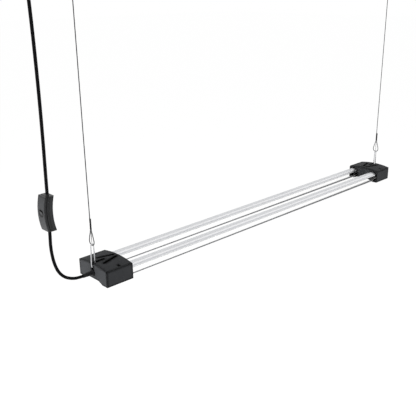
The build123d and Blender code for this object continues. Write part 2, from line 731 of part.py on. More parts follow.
# Gland and mains lead
def gland():
    """Snap-in bush: collar inside the wall, flange outside it and a tapered boot."""
    wall_out = -BAR_END
    wall_in = wall_out + END_WALL
    neck_r = GLAND_NECK_DIA / 2
    flange_x = wall_out - GLAND_FLANGE_THICK
    flange = rod_x(flange_x, wall_out, 0, GLAND_Z, GLAND_FLANGE_DIA / 2)
    flange = fillet(flange.edges().group_by(Axis.X)[0], 0.35 * GLAND_FLANGE_THICK)
    neck = rod_x(wall_out - 1, wall_in + 1, 0, GLAND_Z, neck_r)
    collar_x = wall_in + GLAND_COLLAR_THICK
    collar = rod_x(wall_in, collar_x, 0, GLAND_Z, GLAND_COLLAR_DIA / 2)
    middle = Pos(flange_x + 0.5 - BOOT_LENGTH / 2 - 0.25, 0, GLAND_Z)
    cone = Cone(BOOT_TIP_DIA / 2, BOOT_ROOT_DIA / 2, BOOT_LENGTH + 0.5)
    boot = middle * Rot(0, 90, 0) * cone
    return flange + neck + collar + boot


BOOT_TIP_X = -BAR_END - GLAND_FLANGE_THICK - BOOT_LENGTH


def lead_lower():
    """The lead from the gland's boot up to the switch."""
    points = [(BOOT_TIP_X, 0, GLAND_Z)]
    points += [(-BAR_END - out, 0, GLAND_Z + up) for out, up in LEAD_LOWER_ROUTE]
    points += [(SWITCH_X, 0, SWITCH_BOTTOM - LEAD_FOOT_GAP)]
    return cord("lead_lower", points, LEAD_DIA)


def lead_upper():
    """The lead from the switch up to the plug, its top edge broken so that it can swing."""
    points = [(LEAD_X, 0, SWITCH_TOP + LEAD_SWITCH_GAP)]
    points += [(-BAR_END - out, 0, SWITCH_TOP + up) for out, up in LEAD_UPPER_ROUTE]
    points += [(LEAD_X, 0, LEAD_TOP - LEAD_PLUG_GAP)]
    lead = cord("lead_upper", points, LEAD_DIA)
    return chamfer(lead.edges().group_by(Axis.Z)[-1], LEAD_TOP_CHAMFER)


# Suspension
def hanger_link():
    """The long wire link at the left end, round its pin below and the rope's loop above."""
    top_middle = LINK_TOP - LINK_TOP_R
    foot_middle = LINK_BOTTOM + LINK_FOOT_R
    lean = asin((LINK_FOOT_R - LINK_TOP_R) / (top_middle - foot_middle))
    half_butt = asin(LINK_BUTT / 2 / LINK_FOOT_R)

    def at(radius, middle, angle):
        return (-HANG_X + radius * cos(angle), 0, middle + radius * sin(angle))

    foot_start = at(LINK_FOOT_R, foot_middle, -pi / 2 + half_butt)
    foot_right = at(LINK_FOOT_R, foot_middle, lean)
    foot_left = at(LINK_FOOT_R, foot_middle, pi - lean)
    foot_end = at(LINK_FOOT_R, foot_middle, -pi / 2 - half_butt)
    top_right = at(LINK_TOP_R, top_middle, lean)
    top_left = at(LINK_TOP_R, top_middle, pi - lean)
    path = Wire(
        [
            ThreePointArc(foot_start, at(LINK_FOOT_R, foot_middle, -pi / 4), foot_right),
            Line(foot_right, top_right),
            ThreePointArc(top_right, at(LINK_TOP_R, top_middle, pi / 2), top_left),
            Line(top_left, foot_left),
            ThreePointArc(foot_left, at(LINK_FOOT_R, foot_middle, 5 * pi / 4), foot_end),
        ]
    )
    return wire_along(path, LINK_WIRE)


def hanger_pin():
    """The pin across the slot in the left cap that the link hangs the bar by."""
    half = SLOT_HALF_WIDTH + PIN_BOSS - 1 - FIT_GAP
    return rod_y(-HANG_X, -half, half, PIN_Z, PIN_DIA / 2)


def rope_loop(bend_z, ferrule_z, up):
    """A teardrop loop at the left rope. bend_z is the wire's middle at the bend."""
    overrun = 1.0
    sign = 1 if up else -1
    middle = bend_z - sign * LOOP_R
    reach = abs(middle - ferrule_z)
    distance = sqrt(reach**2 + STRAND_HALF_PITCH**2)
    # Angle, from straight out sideways, of the point where the strand leaves the bend
    spread = acos(LOOP_R / distance)
    towards = atan2(-sign * reach, STRAND_HALF_PITCH)
    angle = towards + sign * spread
    bend_start = (-HANG_X, LOOP_R * cos(angle), middle + LOOP_R * sin(angle))
    bend_end = (-HANG_X, -LOOP_R * cos(angle), middle + LOOP_R * sin(angle))
    past_end = ferrule_z - sign * overrun
    path = Wire(
        [
            Line((-HANG_X, STRAND_HALF_PITCH, past_end), bend_start),
            ThreePointArc(bend_start, (-HANG_X, 0, bend_z), bend_end),
            Line(bend_end, (-HANG_X, -STRAND_HALF_PITCH, past_end)),
        ]
    )
    low, high = sorted((ferrule_z, ferrule_z - 3 * sign * overrun))
    in_ferrule = box_between(
        (-HANG_X - ROPE_DIA, -FERRULE_WIDTH, low), (-HANG_X + ROPE_DIA, FERRULE_WIDTH, high)
    )
    return wire_along(path, ROPE_DIA) - in_ferrule


def ferrule(z_low):
    """A crimped sleeve round both strands of the left rope."""
    plane = Plane(origin=(-HANG_X, 0, z_low), x_dir=(0, 1, 0), z_dir=(0, 0, 1))
    spacing = FERRULE_WIDTH - FERRULE_THICK
    sleeve = extrude(plane * SlotCenterToCenter(spacing, FERRULE_THICK), amount=FERRULE_LENGTH)
    ends = sleeve.edges().group_by(Axis.Z)
    return fillet(ends[0] + ends[-1], 0.4)


def rope():
    """The left rope's straight run between its two ferrules."""
    z0 = ROPE_BOTTOM + ROPE_END_GAP
    z1 = ROPE_TOP - ROPE_END_GAP
    return rod_z(-HANG_X, STRAND_HALF_PITCH, z0, z1, ROPE_DIA / 2)


def ceiling_hook():
    """A screw hook at the left end, from its screw tip to the open end of its bend."""
    middle = Vector(-HANG_X, 0, HOOK_Z + HOOK_R)
    reach = HOOK_R + HOOK_BEND_R
    rise = sqrt(reach**2 - HOOK_BEND_R**2)
    bend_middle = middle + Vector(-HOOK_BEND_R, 0, rise)
    meet = middle + (bend_middle - middle) * (HOOK_R / reach)
    bend_start = bend_middle + Vector(HOOK_BEND_R, 0, 0)
    half_turn = (bend_start - bend_middle).normalized() + (meet - bend_middle).normalized()
    bend_half = bend_middle + half_turn.normalized() * HOOK_BEND_R
    end = radians(-90 + HOOK_SWEEP_PAST_BOTTOM)
    far_side = middle + Vector(-HOOK_R, 0, 0)
    near_side = middle + Vector(HOOK_R * cos(radians(-45)), 0, HOOK_R * sin(radians(-45)))
    tip = middle + Vector(HOOK_R * cos(end), 0, HOOK_R * sin(end))
    bottom = middle + Vector(0, 0, -HOOK_R)
    shank_top = Vector(-HANG_X, 0, -HOOK_COLLAR_THICK / 2)
    path = Wire(
        [
            Line(shank_top, bend_start),
            ThreePointArc(bend_start, bend_half, meet),
            ThreePointArc(meet, far_side, bottom),
            ThreePointArc(bottom, near_side, tip),
        ]
    )
    hook = wire_along(path, HOOK_WIRE) + Pos(*tip) * Sphere(HOOK_WIRE / 2)
    collar = rod_z(-HANG_X, 0, -HOOK_COLLAR_THICK, 0, HOOK_COLLAR_DIA / 2)
    collar = fillet(collar.edges().group_by(Axis.Z)[0], 0.4 * HOOK_COLLAR_THICK)
    thread_r = HOOK_THREAD_DIA / 2
    thread = rod_z(-HANG_X, 0, -HOOK_COLLAR_THICK / 2, HOOK_THREAD_LENGTH, thread_r)
    tip_z = HOOK_THREAD_LENGTH + HOOK_TIP_LENGTH / 2
    point = Pos(-HANG_X, 0, tip_z) * Cone(thread_r, 0.3, HOOK_TIP_LENGTH)
    return hook + collar + thread + point


# In-line switch
def bowed_face(x_front, x_back, half_length):
    """A strip between two bowed lines, seen from the side; both bow towards -X."""
    front = ThreePointArc(
        (x_front, -half_length), (x_front - SWITCH_BOW, 0), (x_front, half_length)
    )
    back = ThreePointArc(
        (x_back, half_length), (x_back - SWITCH_BOW, 0), (x_back, -half_length)
    )
    top = Line((x_front, half_length), (x_back, half_length))
    bottom = Line((x_back, -half_length), (x_front, -half_length))
    return make_face([front, top, back, bottom])


def bowed_block(x_front, x_back, half_length, half_width):
    """The strip above as a block across the switch's width."""
    plane = Plane(origin=(SWITCH_X, half_width, SWITCH_Z), x_dir=(1, 0, 0), z_dir=(0, -1, 0))
    return extrude(plane * bowed_face(x_front, x_back, half_length), amount=2 * half_width)


HALF_THICK = SWITCH_THICK / 2
ROCKER_FACE_X = SWITCH_X - HALF_THICK - SWITCH_BOW
ROCKER_PIVOT_X = ROCKER_FACE_X + ROCKER_PIN_DEPTH
ROCKER_Z = SWITCH_Z + ROCKER_RISE


def rocker_prism(grow, x_from, x_to):
    """An oval block along X at the rocker's place."""
    plane = Plane(origin=(x_from, 0, ROCKER_Z), x_dir=(0, 1, 0), z_dir=(1, 0, 0))
    oval = Ellipse(ROCKER_WIDTH / 2 + grow, ROCKER_LENGTH / 2 + grow)
    return extrude(plane * oval, amount=x_to - x_from)


def switch_shell(front):
    """One moulded half of the switch; the rocker comes through the front half."""
    length = SWITCH_LENGTH / 2
    width = SWITCH_WIDTH / 2
    whole = bowed_block(-HALF_THICK, HALF_THICK, length, width)
    long_edges = [
        e
        for e in whole.edges()
        if abs(abs((e @ 0.5).Y) - width) < 0.01 and abs((e @ 0.5).Z - SWITCH_Z) < 0.01
    ]
    whole = fillet(long_edges, SWITCH_EDGE_ROUND)
    inner = bowed_block(
        -HALF_THICK + SWITCH_WALL,
        HALF_THICK - SWITCH_WALL,
        length - 2 * SWITCH_WALL,
        width - SWITCH_WALL,
    )
    seam_x = -HALF_THICK + SWITCH_SEAM_PLACE
    seam = bowed_block(seam_x, seam_x + SWITCH_SEAM_WIDTH, length + 1, width + 1)
    seam_floor = length - SWITCH_SEAM_DEPTH, width - SWITCH_SEAM_DEPTH
    seam -= bowed_block(seam_x - 1, seam_x + SWITCH_SEAM_WIDTH + 1, *seam_floor)
    hollow_shell = whole - inner - seam
    if front:
        half = hollow_shell & bowed_block(-HALF_THICK - 1, 0, length + 1, width + 1)
        for side in (-1, 1):
            y_in = side * (ROCKER_WIDTH / 2 + ROCKER_CLEARANCE + 0.3)
            y_out = side * (width - SWITCH_WALL / 2)
            ear_y = sorted((y_in, y_out))
            half += box_between(
                (ROCKER_FACE_X + SWITCH_WALL / 2, ear_y[0], ROCKER_Z - 2.2),
                (ROCKER_PIVOT_X + 1.8, ear_y[1], ROCKER_Z + 2.2),
            )
        half -= rocker_prism(ROCKER_CLEARANCE, ROCKER_FACE_X - 3, ROCKER_FACE_X + 2 * SWITCH_WALL)
        pin_half = ROCKER_WIDTH / 2 + 2.4
        pin_r = ROCKER_PIN_DIA / 2 + FIT_GAP
        return half - rod_y(ROCKER_PIVOT_X, -pin_half, pin_half, ROCKER_Z, pin_r)
    half = hollow_shell & bowed_block(0, HALF_THICK + 1, length + 1, width + 1)
    for side in (-1, 1):
        x, _, z = switch_screw_place(side)
        half -= rod_x(x - 1.2, x + 3, 0, z, 2.4 + SLIDE_GAP)
        half -= rod_x(x - 4, x, 0, z, 1.1 + FIT_GAP)
    return half


def switch_screw_place(side):
    """Where a screw enters the switch's back: on its bowed face, near one end."""
    z = SWITCH_Z + side * SWITCH_SCREW_HALF_PITCH
    share = (SWITCH_SCREW_HALF_PITCH / (SWITCH_LENGTH / 2)) ** 2
    return (SWITCH_X + HALF_THICK - SWITCH_BOW * (1 - share), 0, z)


def switch_screws():
    """Two small screws that hold the switch's halves together."""
    screws = []
    for side in (-1, 1):
        x, _, z = switch_screw_place(side)
        head = rod_x(x - 1.2, x - 0.2, 0, z, 2.4)
        slot = box_between((x - 0.7, -2.0, z - 0.35), (x, 2.0, z + 0.35))
        shank = rod_x(x - 7.5, x - 1.0, 0, z, 1.1)
        screws.append(head - slot + shank)
    return screws


def switch_rocker():
    """The rocker, dished on its face, resting with its lower end pressed in."""
    face = ROCKER_FACE_X - ROCKER_PROUD
    back = face + ROCKER_DEPTH
    prism = rocker_prism(0, face, back)
    dish_r = ((ROCKER_LENGTH / 2) ** 2 + ROCKER_DISH**2) / (2 * ROCKER_DISH)
    half = ROCKER_WIDTH / 2 + 1
    prism -= rod_y(face - dish_r + ROCKER_DISH, -half, half, ROCKER_Z, dish_r)
    prism -= rod_y(ROCKER_PIVOT_X, -half, half, ROCKER_Z, ROCKER_PIN_DIA / 2 + FIT_GAP)
    return prism.rotate(Axis((ROCKER_PIVOT_X, 0, ROCKER_Z), (0, 1, 0)), -ROCKER_TILT)


def rocker_pin():
    """The pivot pin through the rocker and the two ears inside the front half."""
    half = ROCKER_WIDTH / 2 + 2.4 - FIT_GAP
    return rod_y(ROCKER_PIVOT_X, -half, half, ROCKER_Z, ROCKER_PIN_DIA / 2)


def switch_contacts():
    """Brass terminals at both ends of the switch's room."""
    contacts = []
    floor_x = SWITCH_X + HALF_THICK - SWITCH_WALL - SWITCH_BOW
    for side in (-1, 1):
        z = SWITCH_Z + side * 12.5
        x1 = floor_x + SWITCH_BOW * (12.5 / (SWITCH_LENGTH / 2)) ** 2 - 0.4
        contacts.append(box_between((x1 - 4.5, -4.5, z - 3.5), (x1, 4.5, z + 3.5)))
    return contacts


# Plug
def plug_body():
    """The moulded plug with its tapered, ringed boot, face against the ceiling."""
    body = box_between(
        (LEAD_X - PLUG_THICK / 2, -PLUG_WIDTH / 2, -PLUG_LENGTH),
        (LEAD_X + PLUG_THICK / 2, PLUG_WIDTH / 2, 0),
    )
    body = fillet(body.edges().filter_by(Axis.Z), 6.0)
    body = fillet(body.edges().group_by(Axis.Z)[0], 4.0)
    boot_length = HOOK_DROP - PLUG_LENGTH
    boot_low = LEAD_TOP
    cone = Cone(BOOT_TIP_DIA / 2, PLUG_BOOT_ROOT_DIA / 2, boot_length + 1)
    body += Pos(LEAD_X, 0, boot_low + (boot_length + 1) / 2) * cone
    return body


def plug_blades():
    """Two flat blades, pushed up into the socket."""
    blades = []
    for side in (-1, 1):
        y = side * BLADE_HALF_PITCH
        x = LEAD_X - BLADE_SHIFT
        low = (x - BLADE_WIDTH / 2, y - BLADE_THICK / 2, 0)
        high = (x + BLADE_WIDTH / 2, y + BLADE_THICK / 2, BLADE_LENGTH)
        blades.append(box_between(low, high))
    return blades


def plug_earth_pin():
    """The round earth pin beside the blades."""
    x = LEAD_X - BLADE_SHIFT + EARTH_PIN_OFFSET
    pin = rod_z(x, 0, 0, BLADE_LENGTH + EARTH_PIN_LEAD, EARTH_PIN_DIA / 2)
    return fillet(pin.edges().group_by(Axis.Z)[-1], 1.2)


def both_ends(name, shape):
    """One node at the left end and its mirror image at the right end."""
    return {f"left_{name}": shape, f"right_{name}": mirrored(shape)}


def all_nodes():
    """Every node of the model: its name and its solid or group of solids."""
    nodes = {}
    for name, y in (("front", -TUBE_Y), ("rear", TUBE_Y)):
        nodes[f"{name}_heat_sink"] = along_tube(sink_section(), y)
        nodes[f"{name}_tube_cover"] = along_tube(cover_section(), y)
        nodes[f"{name}_led_board"] = led_board(y)
        nodes[f"{name}_leds"] = leds(y)
    shell = cap_shell()
    nodes["left_cap_shell"] = with_gland_hole(shell)
    nodes["right_cap_shell"] = mirrored(shell)
    nodes["left_cap_floor"] = cap_floor(board_posts=True)
    nodes["right_cap_floor"] = mirrored(cap_floor(board_posts=False))
    screws = cap_screws()
    nodes["cap_screws"] = screws + [mirrored(screw) for screw in screws]
    nodes |= both_ends("tube_holder", tube_holder())
    plugs = end_plugs()
    nodes["left_end_plugs"] = plugs
    nodes["right_end_plugs"] = [mirrored(plug) for plug in plugs]
    nodes["driver_board"] = driver_board()
    nodes["driver_transformer"] = driver_transformer()
    nodes["driver_capacitors"] = driver_capacitors()
    nodes["driver_choke"] = driver_choke()
    nodes["terminal_block"] = terminal_block()
    nodes["mains_cores"] = mains_cores()
    nodes["feed_wires"] = feed_wires()
    nodes["lead_gland"] = gland()
    nodes["lead_lower"] = lead_lower()
    nodes["lead_upper"] = lead_upper()
    nodes |= both_ends("hanger_link", hanger_link())
    nodes |= both_ends("hanger_pin", hanger_pin())
    nodes |= both_ends("lower_loop", rope_loop(LOWER_LOOP_BOTTOM, LOWER_FERRULE_BOTTOM, False))
    nodes |= both_ends("upper_loop", rope_loop(UPPER_LOOP_TOP, UPPER_FERRULE_TOP, True))
    nodes |= both_ends("lower_ferrule", ferrule(LOWER_FERRULE_BOTTOM))
    nodes |= both_ends("upper_ferrule", ferrule(ROPE_TOP))
    nodes |= both_ends("rope", rope())
    nodes |= both_ends("ceiling_hook", ceiling_hook())
    nodes["switch_front_shell"] = switch_shell(front=True)
    nodes["switch_back_shell"] = switch_shell(front=False)
    nodes["switch_rocker"] = switch_rocker()
    nodes["rocker_pin"] = rocker_pin()
    nodes["switch_contacts"] = switch_contacts()
    nodes["switch_screws"] = switch_screws()
    nodes["plug_body"] = plug_body()
    nodes["plug_blades"] = plug_blades()
    nodes["plug_earth_pin"] = plug_earth_pin()
    return nodes


os.makedirs("parts", exist_ok=True)
for node_name, shape in all_nodes().items():
    if isinstance(shape, list):
        shape = Compound(children=shape)
    export_step(shape, f"parts/{node_name}.step")
print(f"bar {BAR_LENGTH:.1f} mm long, tube axis {-AXIS_Z:.1f} mm below the ceiling")
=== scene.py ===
"""Looks of a twin-tube LED grow light bar that hangs from two ceiling hooks on steel ropes.

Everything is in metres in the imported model's frame. Sizes in the classes are in millimetres,
because that is how the object is measured, and they pass through MM on their way to a mesh.
"""

import logging
from bisect import bisect_left
from dataclasses import dataclass, field
from enum import Enum
from math import cos, pi, radians, sin

import bmesh
import bpy
from mathutils import Euler, Matrix, Vector

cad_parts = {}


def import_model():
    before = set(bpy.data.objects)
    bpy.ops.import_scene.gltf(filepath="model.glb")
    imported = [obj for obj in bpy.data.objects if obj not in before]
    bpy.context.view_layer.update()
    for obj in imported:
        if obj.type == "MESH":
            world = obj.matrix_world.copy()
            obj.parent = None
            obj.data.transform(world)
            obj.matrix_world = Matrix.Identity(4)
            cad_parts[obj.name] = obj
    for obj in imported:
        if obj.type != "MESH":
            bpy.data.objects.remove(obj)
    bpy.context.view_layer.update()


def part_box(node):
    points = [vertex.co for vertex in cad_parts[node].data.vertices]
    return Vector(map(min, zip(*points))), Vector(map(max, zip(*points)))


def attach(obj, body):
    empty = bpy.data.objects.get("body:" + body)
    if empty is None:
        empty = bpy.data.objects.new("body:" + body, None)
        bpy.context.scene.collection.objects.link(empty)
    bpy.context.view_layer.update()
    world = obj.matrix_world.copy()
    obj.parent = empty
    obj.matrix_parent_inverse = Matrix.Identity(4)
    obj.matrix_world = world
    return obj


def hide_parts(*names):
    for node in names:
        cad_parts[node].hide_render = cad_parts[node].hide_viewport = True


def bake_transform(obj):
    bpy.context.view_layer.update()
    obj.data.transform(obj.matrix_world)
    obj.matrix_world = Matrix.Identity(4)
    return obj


log = logging.getLogger("grow_light")

MM = 0.001
BAR_AXIS_HEIGHT = -631.5
BAR_END = 495.0
HANGER_X = 492.0
LEAD_X = -574.5
WHITE = (1, 1, 1, 1)

Point = tuple[float, float, float]
Colour = tuple[float, float, float, float]
Pattern = tuple[float, float, bpy.types.NodeSocket]


# Small tools
def linear(hex_colour: str) -> Colour:
    """Turns an sRGB hex value into a linear colour.

    Args:
        hex_colour: Six hex digits, such as "1c1d1f".

    Returns:
        Red, green, blue and an alpha of 1.
    """
    shares = [int(hex_colour[i : i + 2], 16) / 255 for i in (0, 2, 4)]
    low_high = [c / 12.92 if c <= 0.04045 else ((c + 0.055) / 1.055) ** 2.4 for c in shares]
    return (low_high[0], low_high[1], low_high[2], 1.0)


def add_node(tree: bpy.types.NodeTree, kind: str, settings: dict, links: dict) -> bpy.types.Node:
    """Adds one shader node.

    Args:
        tree: The node tree that it goes into.
        kind: Its type, without the "ShaderNode" in front.
        settings: Property names, or input names or numbers, and their values. A colour ramp's
            "stops" are pairs of a place from 0 to 1 and a colour.
        links: Input names or numbers and the output sockets that feed them.

    Returns:
        The new node.
    """
    node = tree.nodes.new("ShaderNode" + kind)
    for name, value in settings.items():
        if name == "stops":
            marks = node.color_ramp.elements
            while len(marks) < len(value):
                marks.new(0.5)
            for mark, (place, colour) in zip(marks, value):
                mark.position = place
                mark.color = colour
        elif isinstance(name, str) and name in node.bl_rna.properties:
            setattr(node, name, value)
        else:
            node.inputs[name].default_value = value
    for name, socket in links.items():
        tree.links.new(socket, node.inputs[name])
    return node


def blank_material(name: str) -> tuple[bpy.types.Material, bpy.types.NodeTree]:
    """A material with an empty node tree."""
    material = bpy.data.materials.new(name)
    material.use_nodes = True
    material.node_tree.nodes.clear()
    return material, material.node_tree


def object_pattern(tree: bpy.types.NodeTree, stretch: Point = (1, 1, 1)) -> bpy.types.NodeSocket:
    """Object coordinates, stretched along some axes, for a pattern to read."""
    where = add_node(tree, "TexCoord", {}, {})
    mapping = add_node(tree, "Mapping", {"Scale": stretch}, {"Vector": where.outputs["Object"]})
    return mapping.outputs["Vector"]


def grain(
    tree: bpy.types.NodeTree, size_mm: float, detail: float, stretch: Point = (1, 1, 1)
) -> bpy.types.NodeSocket:
    """Noise whose grains are about a real size across.

    Args:
        tree: The node tree.
        size_mm: Width of a grain in millimetres.
        detail: Octaves of finer grain.
        stretch: Under 1 along an axis makes the grains longer that way.

    Returns:
        The noise's factor socket.
    """
    vector = object_pattern(tree, stretch)
    noise = add_node(
        tree, "TexNoise", {"Scale": 1 / (size_mm * MM), "Detail": detail}, {"Vector": vector}
    )
    return noise.outputs["Fac"]


def surface(
    tree: bpy.types.NodeTree,
    settings: dict,
    colour: bpy.types.NodeSocket,
    relief: Pattern,
    rough: Pattern | None = None,
    span: tuple[float, float] = (0.3, 0.7),
) -> None:
    """Wires up the surface shader, with its relief and its roughness from patterns.

    Args:
        tree: The material's node tree.
        settings: The shader's own input names and their values.
        colour: What feeds its base colour.
        relief: The bump's strength, its depth in millimetres and the pattern that it follows.
        rough: The lowest and the highest roughness, and the pattern that they follow.
        span: The part of that pattern's range over which the roughness changes.
    """
    strength, depth_mm, heights = relief
    depth = {"Strength": strength, "Distance": depth_mm * MM}
    bump = add_node(tree, "Bump", depth, {"Height": heights})
    links = {"Base Color": colour, "Normal": bump.outputs["Normal"]}
    if rough:
        low, high, patches = rough
        matt = add_node(
            tree,
            "MapRange",
            {"From Min": span[0], "From Max": span[1], "To Min": low, "To Max": high},
            {"Value": patches},
        )
        links["Roughness"] = matt.outputs["Result"]
    shader = add_node(tree, "BsdfPrincipled", settings, links)
    add_node(tree, "OutputMaterial", {}, {"Surface": shader.outputs["BSDF"]})


# Finishes
@dataclass(frozen=True)
class MouldedPlastic:
    """Injection-moulded plastic with the fine even grain of a spark-eroded mould.

    With a painted shade width set, its rounded edges and its narrow grooves and gaps are painted
    darker than its faces, where shade would fall.
    """

    name: str
    colour: str
    shade: str
    grain_mm: float = 1.1
    grain_depth_mm: float = 0.05
    roughness: float = 0.5
    gloss: float = 0.3
    painted_shade_mm: float = 0.0
    painted_shade_level: float = 0.3
    cloud_mm: float = 18.0

    def make(self) -> bpy.types.Material:
        """Builds the material."""
        material, tree = blank_material(self.name)
        colour = add_node(
            tree,
            "ValToRGB",
            {"stops": [(0.3, linear(self.shade)), (0.7, linear(self.colour))]},
            {"Fac": grain(tree, self.cloud_mm, 3.0)},
        ).outputs["Color"]
        # Painted shade: the colour is multiplied darker along edges and in grooves and gaps.
        if self.painted_shade_mm:
            colour = add_node(
                tree,
                "MixRGB",
                {"blend_type": "MULTIPLY", "Fac": 1.0},
                {"Color1": colour, "Color2": self.open_faces(tree)},
            ).outputs["Color"]
        pits = grain(tree, self.grain_mm, 4.0)
        surface(
            tree,
            {"IOR": 1.5, "Specular IOR Level": self.gloss},
            colour,
            relief=(0.5, self.grain_depth_mm, pits),
            rough=(self.roughness - 0.07, self.roughness + 0.07, pits),
        )
        return material

    def open_faces(self, tree: bpy.types.NodeTree) -> bpy.types.NodeSocket:
        """Painted shade: white on open faces, and painted darker along edges and down in grooves
        and gaps.
        """
        # Painted shade along edges: darker where the bevelled normal turns away from the face's
        # own.
        bevel = add_node(tree, "Bevel", {"samples": 6, "Radius": self.painted_shade_mm * MM}, {})
        here = add_node(tree, "NewGeometry", {}, {})
        turn = add_node(
            tree,
            "VectorMath",
            {"operation": "DOT_PRODUCT"},
            {0: bevel.outputs["Normal"], 1: here.outputs["Normal"]},
        )
        painted_edge_shade = add_node(
            tree,
            "MapRange",
            {"From Min": 0.95, "From Max": 0.996, "To Min": self.painted_shade_level},
            {"Value": turn.outputs["Value"]},
        )
        # Painted shade in creases: darker where occlusion finds other surfaces close by.
        near = add_node(
            tree, "AmbientOcclusion", {"samples": 8, "Distance": 1.2 * self.painted_shade_mm * MM}, {}
        )
        clear = add_node(
            tree,
            "MapRange",
            {"From Min": 0.25, "From Max": 0.85, "To Min": self.painted_shade_level * 0.5},
            {"Value": near.outputs["AO"]},
        )
        both = add_node(
            tree,
            "Math",
            {"operation": "MULTIPLY"},
            {0: painted_edge_shade.outputs["Result"], 1: clear.outputs["Result"]},
        )
        return both.outputs["Value"]


@dataclass(frozen=True)
class SoftSheath:
    """Flexible PVC pulled round a cord: satin, with faint flow lines along its length."""

    name: str
    colour: str
    shade: str
    ripple_mm: float = 3.0
    speck_depth_mm: float = 0.04
    roughness: float = 0.42
    gloss: float = 0.05

    def make(self) -> bpy.types.Material:
        """Builds the material."""
        material, tree = blank_material(self.name)
        flow = grain(tree, self.ripple_mm, 3.0, (1, 1, 0.12))
        specks = grain(tree, 0.8, 2.0)
        colour = add_node(
            tree,
            "ValToRGB",
            {"stops": [(0.35, linear(self.shade)), (0.68, linear(self.colour))]},
            {"Fac": flow},
        )
        surface(
            tree,
            {"IOR": 1.5, "Specular IOR Level": self.gloss},
            colour.outputs["Color"],
            relief=(0.35, self.speck_depth_mm, specks),
            rough=(self.roughness - 0.08, self.roughness + 0.1, flow),
        )
        return material


@dataclass(frozen=True)
class ExtrudedAluminium:
    """Satin anodised aluminium extrusion, with die lines that run the tube's whole length.

    Greys picked by height above the tube's axis are painted reflection in bands along it, and the
    crest's band is painted greyer than those on both sides of it.
    """

    name: str = "anodised_aluminium_extrusion"
    line_mm: float = 1.3
    line_depth_mm: float = 0.06
    roughness: float = 0.34
    line_shade: float = 0.93
    tube_radius: float = 13.0
    # Painted reflection: heights above the axis in millimetres and the grey painted there.
    strips: tuple[tuple[float, str], ...] = (
        (5.8, "e9eaeb"),
        (7.0, "e6e7e8"),
        (7.6, "d9dadd"),
        (9.0, "dbdcdf"),
        (9.8, "f6f6f7"),
        (11.0, "f6f6f7"),
        (11.6, "dedfe1"),
    )

    def make(self) -> bpy.types.Material:
        """Builds the material."""
        material, tree = blank_material(self.name)
        lines = grain(tree, self.line_mm, 3.0, (0.006, 1, 1))
        specks = grain(tree, 2.4, 3.0)
        grey = (self.line_shade, self.line_shade, self.line_shade, 1)
        streaks = add_node(
            tree, "ValToRGB", {"stops": [(0.34, grey), (0.62, WHITE)]}, {"Fac": lines}
        )
        # Painted reflection bands, multiplied by the die lines.
        colour = add_node(
            tree,
            "MixRGB",
            {"blend_type": "MULTIPLY", "Fac": 1.0},
            {"Color1": self.painted_reflection_colours(tree), "Color2": streaks.outputs["Color"]},
        ).outputs["Color"]
        surface(
            tree,
            {"Metallic": 1.0},
            colour,
            relief=(0.4, self.line_depth_mm, lines),
            rough=(self.roughness - 0.08, self.roughness + 0.1, specks),
        )
        return material

    def painted_reflection_colours(self, tree: bpy.types.NodeTree) -> bpy.types.NodeSocket:
        """Painted reflection: the bands' greys, picked by the height above the tube's axis."""
        parts = add_node(tree, "SeparateXYZ", {}, {"Vector": object_pattern(tree)})
        crest = BAR_AXIS_HEIGHT + self.tube_radius
        height = add_node(
            tree,
            "MapRange",
            {"From Min": BAR_AXIS_HEIGHT * MM, "From Max": crest * MM},
            {"Value": parts.outputs["Z"]},
        )
        stops = [(place / self.tube_radius, linear(colour)) for place, colour in self.strips]
        return add_node(
            tree, "ValToRGB", {"stops": stops}, {"Fac": height.outputs["Result"]}
        ).outputs["Color"]


@dataclass(frozen=True)
class ClearPolycarbonate:
    """Clear extruded polycarbonate: see-through, with painted shade in a thin dark line where it is
    seen at a grazing angle, for the dark surroundings that it would show there.
    """

    name: str = "clear_polycarbonate_cover"
    painted_grazing_grey: str = "46484a"
    edge: str = "040405"
    painted_shade_start: float = 0.5
    painted_grey_at: float = 0.62
    line_mm: float = 2.2
    line_depth_mm: float = 0.02

    def make(self) -> bpy.types.Material:
        """Builds the material."""
        material, tree = blank_material(self.name)
        # Painted shade: white face-on, then grey and near black toward grazing angles.
        turn = add_node(tree, "LayerWeight", {"Blend": 0.5}, {})
        stops = [
            (0.0, WHITE),
            (self.painted_shade_start, WHITE),
            (self.painted_grey_at, linear(self.painted_grazing_grey)),
            (1.0, linear(self.edge)),
        ]
        painted_edge_tint = add_node(tree, "ValToRGB", {"stops": stops}, {"Fac": turn.outputs["Facing"]})
        lines = grain(tree, self.line_mm, 2.0, (0.01, 1, 1))
        surface(
            tree,
            {"IOR": 1.15, "Transmission Weight": 1.0, "Roughness": 0.03},
            painted_edge_tint.outputs["Color"],
            relief=(0.15, self.line_depth_mm, lines),
        )
        return material


@dataclass(frozen=True)
class WorkedMetal:
    """Drawn, turned or stamped metal: wire, ropes, screws and blades."""

    name: str
    colour: str
    shade: str
    roughness: float
    rim: float = 1.0
    streak_mm: float = 0.9
    streak_depth_mm: float = 0.03
    stretch: Point = (1, 1, 0.15)

    def make(self) -> bpy.types.Material:
        """Builds the material."""
        material, tree = blank_material(self.name)
        streaks = grain(tree, self.streak_mm, 3.0, self.stretch)
        cloud = grain(tree, 7.0, 2.0)
        colour = add_node(
            tree,
            "ValToRGB",
            {"stops": [(0.35, linear(self.shade)), (0.65, linear(self.colour))]},
            {"Fac": cloud},
        )
        surface(
            tree,
            {"Metallic": 1.0, "Specular Tint": (self.rim, self.rim, self.rim, 1)},
            colour.outputs["Color"],
            relief=(0.3, self.streak_depth_mm, streaks),
            rough=(self.roughness - 0.08, self.roughness + 0.12, streaks),
        )
        return material


